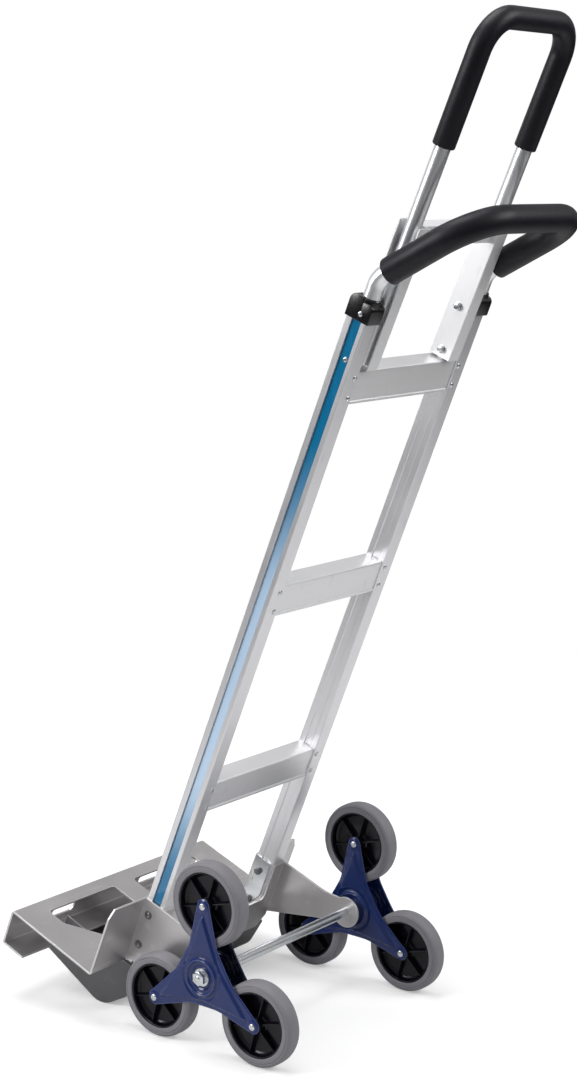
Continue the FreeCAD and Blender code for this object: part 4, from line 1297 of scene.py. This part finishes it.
@dataclass
class StarPlate:
    """Pressed three-armed plate: rolled edge, wedge ridges open to the hub, raised hub ring."""

    reach: float = PIN_REACH
    root: float = 35.0
    tip: float = 11.0
    blend: float = 20.0
    bore: float = 11.6
    cell: float = 1.25
    sheet: float = 1.8
    wedge_height: float = 3.6
    rim_radius: float = 26.0
    rim_height: float = 2.6
    dish_depth: float = 0.8
    roll_width: float = 3.2
    roll_depth: float = 1.3
    boss_height: float = 0.9
    boss_foot: float = 9.6
    boss_top: float = 8.0
    wedge_end: float = 91.0
    wedge_taper: float = 0.40
    wedge_slope: float = 2.0
    moat_depth: float = 1.4
    moat_offset: float = 4.2
    recess_depth: float = 2.4
    recess_edge: float = 19.0
    recess_floor: float = 16.6

    def distance(self, y: float, z: float) -> float:
        """Signed distance in mm from the plate's outline, negative inside.

        Args:
            y: Place in mm.
            z: Place in mm.

        Returns:
            The distance.
        """
        nearest = 1e9
        slope = (self.root - self.tip) / self.reach
        rise = math.sqrt(1 - slope * slope)
        for degrees in ARMS.values():
            along, across = self._arm(y, z, degrees)
            lean = along * rise - across * slope
            if lean < 0:
                arm = math.hypot(along, across) - self.root
            elif lean > rise * self.reach:
                arm = math.hypot(along - self.reach, across) - self.tip
            else:
                arm = across * rise + along * slope - self.root
            gap = max(self.blend - abs(nearest - arm), 0.0) / self.blend
            nearest = min(nearest, arm) - gap * gap * self.blend / 4 if nearest < 1e8 else arm
        return max(nearest, self.bore - math.hypot(y, z))

    def _arm(self, y: float, z: float, degrees: float) -> tuple[float, float]:
        """Place along an arm and distance to its middle line."""
        cosine, sine = math.cos(math.radians(degrees)), math.sin(math.radians(degrees))
        return y * cosine + z * sine, abs(z * cosine - y * sine)

    def relief(self, y: float, z: float) -> float:
        """Height in mm of the pressed face above its flat.

        Args:
            y: Place in mm.
            z: Place in mm.

        Returns:
            The height.
        """
        from_middle = math.hypot(y, z)
        at_bore = from_middle < self.recess_edge + 1.0
        roll = 0.0 if at_bore else max(0.0, 1.0 + self.distance(y, z) / self.roll_width)
        height = -self.roll_depth * roll * roll
        wedge = 0.0
        for degrees in ARMS.values():
            along, across = self._arm(y, z, degrees)
            if along < 0:
                continue
            boss = math.hypot(along - self.reach, across)
            height += self.boss_height * self._step(self.boss_foot, self.boss_top, boss)
            line = self.wedge_taper * (self.wedge_end - along)
            ridge = self._step(line + self.wedge_slope, line - self.wedge_slope, across)
            ridge *= self._step(self.wedge_end + 1.0, self.wedge_end - 3.0, along)
            wedge = max(wedge, self.wedge_height * ridge)
        from_rim = from_middle - self.rim_radius
        rim = self.rim_height * self._step(3.4, 0.8, abs(from_rim))
        moat = self.moat_depth * self._step(4.6, 2.8, abs(from_rim - self.moat_offset))
        dish = self.dish_depth * self._step(-1.0, -3.4, from_rim)
        recess = self.recess_depth * self._step(self.recess_edge, self.recess_floor, from_middle)
        disc = self.wedge_height * self._step(3.0, 0.0, from_rim)
        return height + max(wedge, disc) - moat + rim - dish - recess

    @staticmethod
    def _step(start: float, stop: float, value: float) -> float:
        """Smooth step from 0 at start to 1 at stop."""
        share = min(max((value - start) / (stop - start), 0.0), 1.0)
        return share * share * (3 - 2 * share)

    def build(self, name: str, centre: Vector) -> bpy.types.Object:
        """Press the plate from a fine grid, its face towards +X.

        Args:
            name: Piece name.
            centre: Middle of the plate's flat outer face.

        Returns:
            The plate.
        """
        deselect()
        span = 2 * (self.reach + self.tip + 3 * self.cell)
        count = round(span / self.cell)
        bpy.ops.mesh.primitive_grid_add(x_subdivisions=count, y_subdivisions=count, size=span * MM,
                                        rotation=(0.0, math.pi / 2, 0.0))
        bench = Bench(name)
        bench.settle()
        mesh = bench.piece.data
        bench.edit()
        bpy.ops.mesh.select_mode(type="FACE")
        bpy.ops.mesh.select_all(action="DESELECT")
        bench.leave()
        for face in mesh.polygons:
            face.select = self.distance(face.center.y / MM, face.center.z / MM) > 0
        bpy.ops.object.mode_set(mode="EDIT")
        bpy.ops.mesh.delete(type="FACE")
        bpy.ops.mesh.select_all(action="SELECT")
        bpy.ops.mesh.region_to_loop()
        bench.leave()
        for vertex in mesh.vertices:
            if vertex.select:
                self._to_outline(vertex)
        for vertex in mesh.vertices:
            vertex.co.x = self.relief(vertex.co.y / MM, vertex.co.z / MM) * MM
        mesh.transform(Matrix.Translation(centre))
        bench.edit()
        bench.close()
        if sum(face.normal.x for face in mesh.polygons) < 0:
            mesh.flip_normals()
        bench.modify("SOLIDIFY", thickness=self.sheet * MM, offset=-1.0, use_even_offset=False)
        return bench.smooth(50)

    def _to_outline(self, vertex: bpy.types.MeshVertex) -> None:
        """Slide a border vertex onto the outline.

        Args:
            vertex: A vertex of the border.
        """
        step = 0.05
        for _ in range(4):
            y, z = vertex.co.y / MM, vertex.co.z / MM
            away = self.distance(y, z)
            slope_y = (self.distance(y + step, z) - away) / step
            slope_z = (self.distance(y, z + step) - away) / step
            size = max(slope_y * slope_y + slope_z * slope_z, 0.25)
            vertex.co.y -= away * slope_y / size * MM
            vertex.co.z -= away * slope_z / size * MM


# --- Fasteners ---


def rod(radius: float, length: float) -> list[tuple[float, float]]:
    """Outline of a plain rod, in mm."""
    return [(0.0, 0.0), (0.0, radius), (length, radius), (length, 0.0)]


@dataclass
class Fastener:
    """Domed rivets, hexagon heads and washers."""

    around: int = 28

    def rivet(self, name: str, seat: Vector, out: Vector, radius: float,
              height: float) -> bpy.types.Object:
        """Domed rivet head with a fine rim and a dimple in its middle.

        Args:
            name: Name of the piece.
            seat: Middle of the face that it sits on.
            out: Direction away from that face.
            radius: Radius in mm.
            height: Height in mm.

        Returns:
            The head.
        """
        outline = [(-0.6, 0.0), (-0.6, radius), (height * 0.35, radius),
                   (height * 0.75, radius * 0.86),
                   (height * 0.98, radius * 0.58), (height, radius * 0.36),
                   (height * 0.72, radius * 0.26),
                   (height * 0.70, 0.0)]
        return turned(name, outline, seat, out, self.around).smooth(38)

    def hexagon(self, name: str, seat: Vector, out: Vector, flats: float, height: float,
                washer: float) -> bpy.types.Object:
        """Hexagon head, chamfered at its crown, on a thin washer.

        Args:
            name: Piece name.
            seat: Middle of the face that it sits on.
            out: Direction away from that face.
            flats: Width across flats in mm.
            height: Height of head and washer in mm.
            washer: Washer radius in mm, or 0 for none.

        Returns:
            The head.
        """
        deselect()
        plate = 0.8 if washer else 0.0
        middle = seat + out * ((height + plate) / 2 * MM)
        turn = out.to_track_quat("Z", "Y").to_euler()
        bpy.ops.mesh.primitive_cylinder_add(vertices=6, radius=flats / math.sqrt(3) * MM,
                                            depth=(height - plate) * MM, location=middle,
                                            rotation=turn)
        bench = Bench(name)
        bench.settle()
        crown = middle.dot(out) + (height - plate) / 2 * MM - 1e-5
        bench.pick(lambda place: place.dot(out) > crown)
        bpy.ops.mesh.select_mode(type="FACE")
        bpy.ops.mesh.inset(thickness=flats * 0.10 * MM, depth=flats * 0.035 * MM)
        bpy.ops.mesh.inset(thickness=flats * 0.16 * MM, depth=flats * 0.03 * MM)
        bench.close()
        bench.soften(0.3, 2, 25)
        pieces = [bench.smooth(30)]
        if washer:
            ring = turned(f"{name}_washer", rod(washer, plate), seat, out, self.around)
            ring.soften(0.2, 2, 40)
            pieces.append(ring.smooth(30))
        return joined(name, pieces)


@dataclass
class Undercarriage:
    """Wheels, stars, pins and axle ends of both sides."""

    stance: Stance
    plate_face: float = 203.0
    inner_face: float = 166.5
    wheel_middle: float = 184.75
    reach: float = PIN_REACH
    rim_turn: float = 14.0
    nut_seat: float = 2.5
    pin_radius: float = 4.0
    pin_head: float = 5.0
    pin_rise: float = 2.2
    pin_length: float = 38.0

    def build(self, palette: Palette) -> None:
        """Build each kind of piece once and copy it to every place.

        Args:
            palette: Finishes of the slots.
        """
        home = Vector((0.0, 0.0, 0.0))
        wheel = Wheel()
        tyre, rim = wheel.tyre("pattern_tyre", home), wheel.rim("pattern_rim", home)
        plate = StarPlate().build("pattern_plate", home)
        pins = self._pins()
        nut = self._axle_nut()
        nuts = []
        for word, side in SIDES.items():
            body = f"{word}_star"
            mirror = Matrix.Scale(side, 4, ACROSS)
            for node, face, facing, slot in (
                ("star_outer_plate", self.plate_face, side, Slot.BLUE),
                ("star_inner_plate", self.inner_face, -side, Slot.DARK_BLUE),
            ):
                place = Matrix.Translation(Vector((side * face * MM, self.stance.axle.y,
                                                   self.stance.axle.z)))
                change = place @ Matrix.Scale(facing, 4, ACROSS)
                self._place(palette, plate, f"{word}_{node}_pressing", change, f"{word}_{node}",
                            body, slot)
            axle = Matrix.Translation(self.stance.axle)
            self._place(palette, pins, f"{word}_pin_heads", axle @ mirror, f"{word}_wheel_pins",
                        body, Slot.ZINC)
            nuts.append(copied(nut, f"{word}_axle_nut", axle @ mirror))
            for arm, degrees in ARMS.items():
                centre = self._arm_end(degrees, side * self.wheel_middle)
                spot = Matrix.Translation(centre) @ Matrix.Rotation(math.radians(degrees + self.rim_turn), 4, "X")
                name = f"{word}_{arm}"
                self._place(palette, tyre, f"{name}_tyre_rubber", spot, f"{name}_tyre",
                            f"{name}_wheel", Slot.TYRE)
                self._place(palette, rim, f"{name}_rim_moulding", spot, f"{name}_rim",
                            f"{name}_wheel", Slot.RIM)
        pair = joined("axle_nut_pair", nuts)
        palette.dress(pair, Slot.ZINC)
        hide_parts("axle_nuts")
        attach(pair, "frame")
        for pattern in (tyre, rim, plate, pins, nut):
            bpy.data.objects.remove(pattern)

    def _arm_end(self, degrees: float, across: float) -> Vector:
        """World place of an arm's pin."""
        angle = math.radians(degrees)
        return self.stance.axle + Vector((across, self.reach * math.cos(angle),
                                          self.reach * math.sin(angle))) * MM

    def _place(self, palette: Palette, pattern: bpy.types.Object, name: str, change: Matrix,
               node: str,
               body: str, slot: Slot) -> None:
        """Copy a pattern to its place, dress it and let it ride on its body.

        Args:
            palette: Finishes of the slots.
            pattern: What is copied.
            name: Name of the piece.
            change: Where the copy goes.
            node: Node that it stands for.
            body: Body that it rides on.
            slot: Material slot of the record.
        """
        piece = copied(pattern, name, change)
        palette.dress(piece, slot)
        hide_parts(node)
        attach(piece, body)

    def _pins(self) -> bpy.types.Object:
        """Three pins with a domed head at each end, about the origin.

        Returns:
            The joined pins.
        """
        fastener = Fastener()
        pieces = []
        for arm, degrees in ARMS.items():
            angle = math.radians(degrees)
            spot = Vector((0.0, self.reach * math.cos(angle), self.reach * math.sin(angle))) * MM
            outside = spot + ACROSS * ((self.plate_face + 0.9) * MM)
            inside = spot + ACROSS * ((self.inner_face - 0.7) * MM)
            for part, seat, out in (("head", outside, ACROSS), ("tail", inside, -ACROSS)):
                pieces.append(fastener.rivet(f"{arm}_{part}", seat, out, self.pin_head,
                                             self.pin_rise))
            shank = rod(self.pin_radius, self.pin_length)
            pieces.append(turned(f"{arm}_shank", shank, inside, ACROSS, 24).smooth(38))
        return joined("pattern_pins", pieces)

    def _axle_nut(self) -> bpy.types.Object:
        """Hexagon nut on a flange, with the axle's rounded end in its middle, about the axle.

        Returns:
            The nut.
        """
        seat = ACROSS * ((self.plate_face + self.nut_seat) * MM)
        head = Fastener().hexagon("nut_head", seat, ACROSS, 19.0, 8.0, 12.2)
        end = [(6.0, 0.0), (6.0, 5.6), (8.6, 5.6), (9.8, 4.6), (10.4, 2.6), (10.6, 0.0)]
        return joined("pattern_nut", [head, turned("axle_tip", end, seat, ACROSS, 32).smooth(40)])


@dataclass
class Hardware:
    """Rivets of the rungs and bolts of the handles and brackets."""

    stance: Stance
    rail_inner: float = 119.5
    rail_outer: float = 145.5
    rail_rear: float = -134.0
    channel: float = 88.0
    bracket_line: float = -154.5
    rungs: int = 3
    rung_top: float = 224.5
    rung_pitch: float = 329.0
    rivet_drops: tuple[float, float] = (9.0, 39.0)
    foot_heights: tuple[float, float] = (-14.0, -67.0)
    foot_stand: float = 3.0

    def build(self, palette: Palette) -> None:
        """Build each set and let it stand for its node.

        Args:
            palette: Finishes of the slots.
        """
        self._finish(palette, "rung_rivet_heads", self._rung_rivets(), "rung_rivets")
        self._finish(palette, "bracket_bolt_heads", self._bracket_bolts(), "bracket_bolts")
        self._finish(palette, "extension_bolt_heads", self._extension_bolts(), "extension_bolts")

    def _finish(self, palette: Palette, name: str, pieces: list[bpy.types.Object],
                node: str) -> None:
        """Join, dress and place one set.

        Args:
            palette: Finishes of the slots.
            name: Name of the piece.
            pieces: What is joined.
            node: Node that it stands for.
        """
        piece = joined(name, pieces)
        palette.dress(piece, Slot.ZINC)
        if node == "bracket_bolts":
            piece.data.materials[0] = BOLT_STEEL.material()
        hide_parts(node)
        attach(piece, "frame")

    def _rung_rivets(self) -> list[bpy.types.Object]:
        """Two rivets at each end of each rung, on the rails' rear faces.

        Returns:
            The rivets.
        """
        fastener = Fastener(around=24)
        out = self.stance.back()
        pieces = []
        for side in SIDES.values():
            for level in range(self.rungs):
                for drop in self.rivet_drops:
                    height = self.rung_top + level * self.rung_pitch - drop
                    seat = self.stance.at(side * (self.rail_inner + 8.0), self.rail_rear, height)
                    pieces.append(fastener.rivet(f"rivet_{side}_{height}", seat, out, 4.0, 1.5))
        return pieces

    def _pair(self, name: str, side: float, inner: Vector, outer: Vector,
              dome: float = 3.9) -> list[bpy.types.Object]:
        """Hexagon head inside, domed head outside and the shank between them.

        Args:
            name: Name of the piece.
            side: 1 on the left and -1 on the right.
            inner: Inner end of the shank.
            outer: Outer end of the shank.
            dome: Radius of the domed head in mm.

        Returns:
            Head, dome and shank.
        """
        fastener = Fastener()
        run = (outer - inner).length / MM
        return [
            fastener.hexagon(f"{name}_head", inner, ACROSS * -side, 10.0, 4.4, 6.0),
            fastener.rivet(f"{name}_dome", outer, ACROSS * side, dome, 3.6),
            turned(f"{name}_shank", rod(3.0, run), inner, ACROSS * side, 20).smooth(38),
        ]

    def _bracket_bolts(self) -> list[bpy.types.Object]:
        """Two bolts through each rail's foot.

        Returns:
            The bolts' pieces.
        """
        pieces = []
        for word, side in SIDES.items():
            for number, height in enumerate(self.foot_heights):
                inner = self.stance.at(side * (self.rail_inner - self.foot_stand),
                                       self.bracket_line, height)
                outer = self.stance.at(side * (self.rail_outer + self.foot_stand),
                                       self.bracket_line, height)
                pieces += self._pair(f"{word}_foot_{number}", side, inner, outer, dome=4.9)
                rim = [(0.0, 0.0), (0.0, 6.6), (0.6, 6.6), (1.0, 6.2), (1.0, 0.0)]
                pieces.append(turned(f"{word}_rim_{number}", rim, outer, ACROSS * side,
                                     32).smooth(38))
        return pieces

    def _extension_bolts(self) -> list[bpy.types.Object]:
        """Two bolts through each channel, the upper one through the cap.

        Returns:
            The bolts' pieces.
        """
        pieces = []
        for word, side in SIDES.items():
            for name, height, end in (("upper", 964.0, 147.9), ("lower", 897.0, 143.3)):
                inner = self.stance.extended(side * self.channel, HANDLE_LINE, height)
                outer = self.stance.extended(side * end, HANDLE_LINE, height)
                pieces += self._pair(f"{word}_{name}", side, inner, outer)
        return pieces


# --- Studio ---


@dataclass
class Studio:
    """Pale floor, soft light and the camera."""

    stance: Stance
    aim: tuple[float, float, float] = (0.0, 0.1, 0.6)
    eye: tuple[float, float, float] = (2.4763, 1.8640, 1.2492)
    yaw: float = math.radians(232.937)
    pitch: float = math.radians(-9.669)
    roll: float = math.radians(0.483)
    lens: float = 72.33
    sensor: float = 36.0

    def build(self) -> None:
        """Build floor, lights, world and camera."""
        self._floor()
        self._world()
        self._light("key_light", Vector((2.8, -2.2, 2.4)), size=1.8, power=98.0)
        self._light("fill_light", Vector((-1.6, 2.8, 2.8)), size=1.5, power=62.0)
        self._light("low_front_light", Vector((-1.5, -3.3, 0.9)), size=1.5, power=9.0)
        self._light("top_light", Vector((0.2, -0.4, 3.8)), size=2.0, power=66.0)
        self._camera()

    def _floor(self) -> None:
        """A broad pale floor that turns to plain white away from the truck."""
        deselect()
        bpy.ops.mesh.primitive_plane_add(size=60.0)
        bench = Bench("studio_floor")
        material = bpy.data.materials.new("pale_floor")
        graph = Graph(material)
        cloud = graph.noise(1.5, detail=3.0)
        far = graph.distance().between(0.9, 3.2)
        colour = graph.mix(grey(0.68), grey(0.71), cloud)
        seen = Value(graph, graph.node("ShaderNodeLightPath").outputs["Is Camera Ray"])
        glow = graph.mix(grey(0.0), graph.mix(grey(0.36), grey(1.0), far), seen)
        shader = graph.node("ShaderNodeBsdfPrincipled", {}, {
            "Base Color": graph.mix(colour, grey(0.0), far),
            "Roughness": 0.75,
            "Specular IOR Level": 0.1,
            "Emission Color": glow,
            "Emission Strength": 1.0,
        })
        graph.node("ShaderNodeOutputMaterial", {}, {"Surface": shader.outputs[0]})
        bench.piece.data.materials.append(material)
        bench.piece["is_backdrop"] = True

    def _world(self) -> None:
        """White surroundings to the camera and a soft grey tent to the truck."""
        world = bpy.data.worlds.new("studio")
        bpy.context.scene.world = world
        bpy.context.scene.view_settings.view_transform = "Standard"
        graph = Graph(world)
        backdrop = graph.node("ShaderNodeBackground", {}, {"Color": (*grey(1.0), 1.0)})
        around = graph.node("ShaderNodeTexCoord").outputs["Generated"]
        height = graph.node("ShaderNodeSeparateXYZ", {}, {0: around}).outputs["Z"]
        ramp = graph.node("ShaderNodeValToRGB", {}, {0: height})
        for stop, colour in zip(ramp.color_ramp.elements, ((0.22, 0.22, 0.23, 1.0), (0.50, 0.50, 0.50, 1.0))):
            stop.color = colour
        tent = graph.node("ShaderNodeBackground", {}, {"Color": ramp.outputs[0]})
        seen = graph.node("ShaderNodeLightPath").outputs["Is Camera Ray"]
        blend = graph.node("ShaderNodeMixShader", {},
                           {0: seen, 1: tent.outputs[0], 2: backdrop.outputs[0]})
        graph.node("ShaderNodeOutputWorld", {}, {"Surface": blend.outputs[0]})

    def _light(self, name: str, place: Vector, size: float, power: float) -> None:
        """A square soft light aimed at the middle of the truck.

        Args:
            name: Name of the piece.
            place: Where it stands.
            size: Side of the square in metres.
            power: Power in watts.
        """
        data = bpy.data.lights.new(name, "AREA")
        data.size = size
        data.energy = power
        lamp = bpy.data.objects.new(name, data)
        bpy.context.collection.objects.link(lamp)
        lamp.location = place
        lamp.visible_camera = False
        lamp.rotation_euler = (Vector(self.aim) - place).to_track_quat("-Z", "Y").to_euler()

    def _camera(self) -> None:
        """Camera behind the left side, a little above the truck's middle."""
        level = math.cos(self.pitch)
        forward = Vector((math.sin(self.yaw) * level, math.cos(self.yaw) * level,
                          math.sin(self.pitch)))
        side = forward.cross(Vector((0.0, 0.0, 1.0))).normalized()
        above = side.cross(forward)
        right = side * math.cos(self.roll) + above * math.sin(self.roll)
        up = above * math.cos(self.roll) - side * math.sin(self.roll)
        data = bpy.data.cameras.new("camera")
        data.sensor_fit = "VERTICAL"
        data.sensor_height = self.sensor
        data.lens = self.lens
        camera = bpy.data.objects.new("camera", data)
        bpy.context.collection.objects.link(camera)
        place = Vector(self.eye) + Vector((0.0, self.stance.axle.y, 0.0))
        turn = Matrix((right, up, -forward)).transposed().to_4x4()
        camera.matrix_world = Matrix.Translation(place) @ turn
        bpy.context.scene.camera = camera


def main() -> None:
    """Build every sub-assembly in order and report it."""
    logging.basicConfig(level=logging.INFO, format="%(name)s: %(message)s")
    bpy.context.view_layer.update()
    palette = Palette()
    stance = find_stance()
    palette.dress_nodes()
    LOG.info("frame dressed: %d nodes", len(frame["nodes"]))
    Studio(stance).build()
    Handles(stance).build(palette)
    LOG.info("foam grips built")
    for word, side in SIDES.items():
        Cap(word, side, stance).build(palette)
    LOG.info("caps built")
    Undercarriage(stance).build(palette)
    LOG.info("wheels and stars built")
    Hardware(stance).build(palette)
    LOG.info("bolts and rivets built")
    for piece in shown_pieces():
        LOG.info("piece %s: %d faces", piece.name, len(piece.data.polygons))


if __name__ == "__main__":
    main()
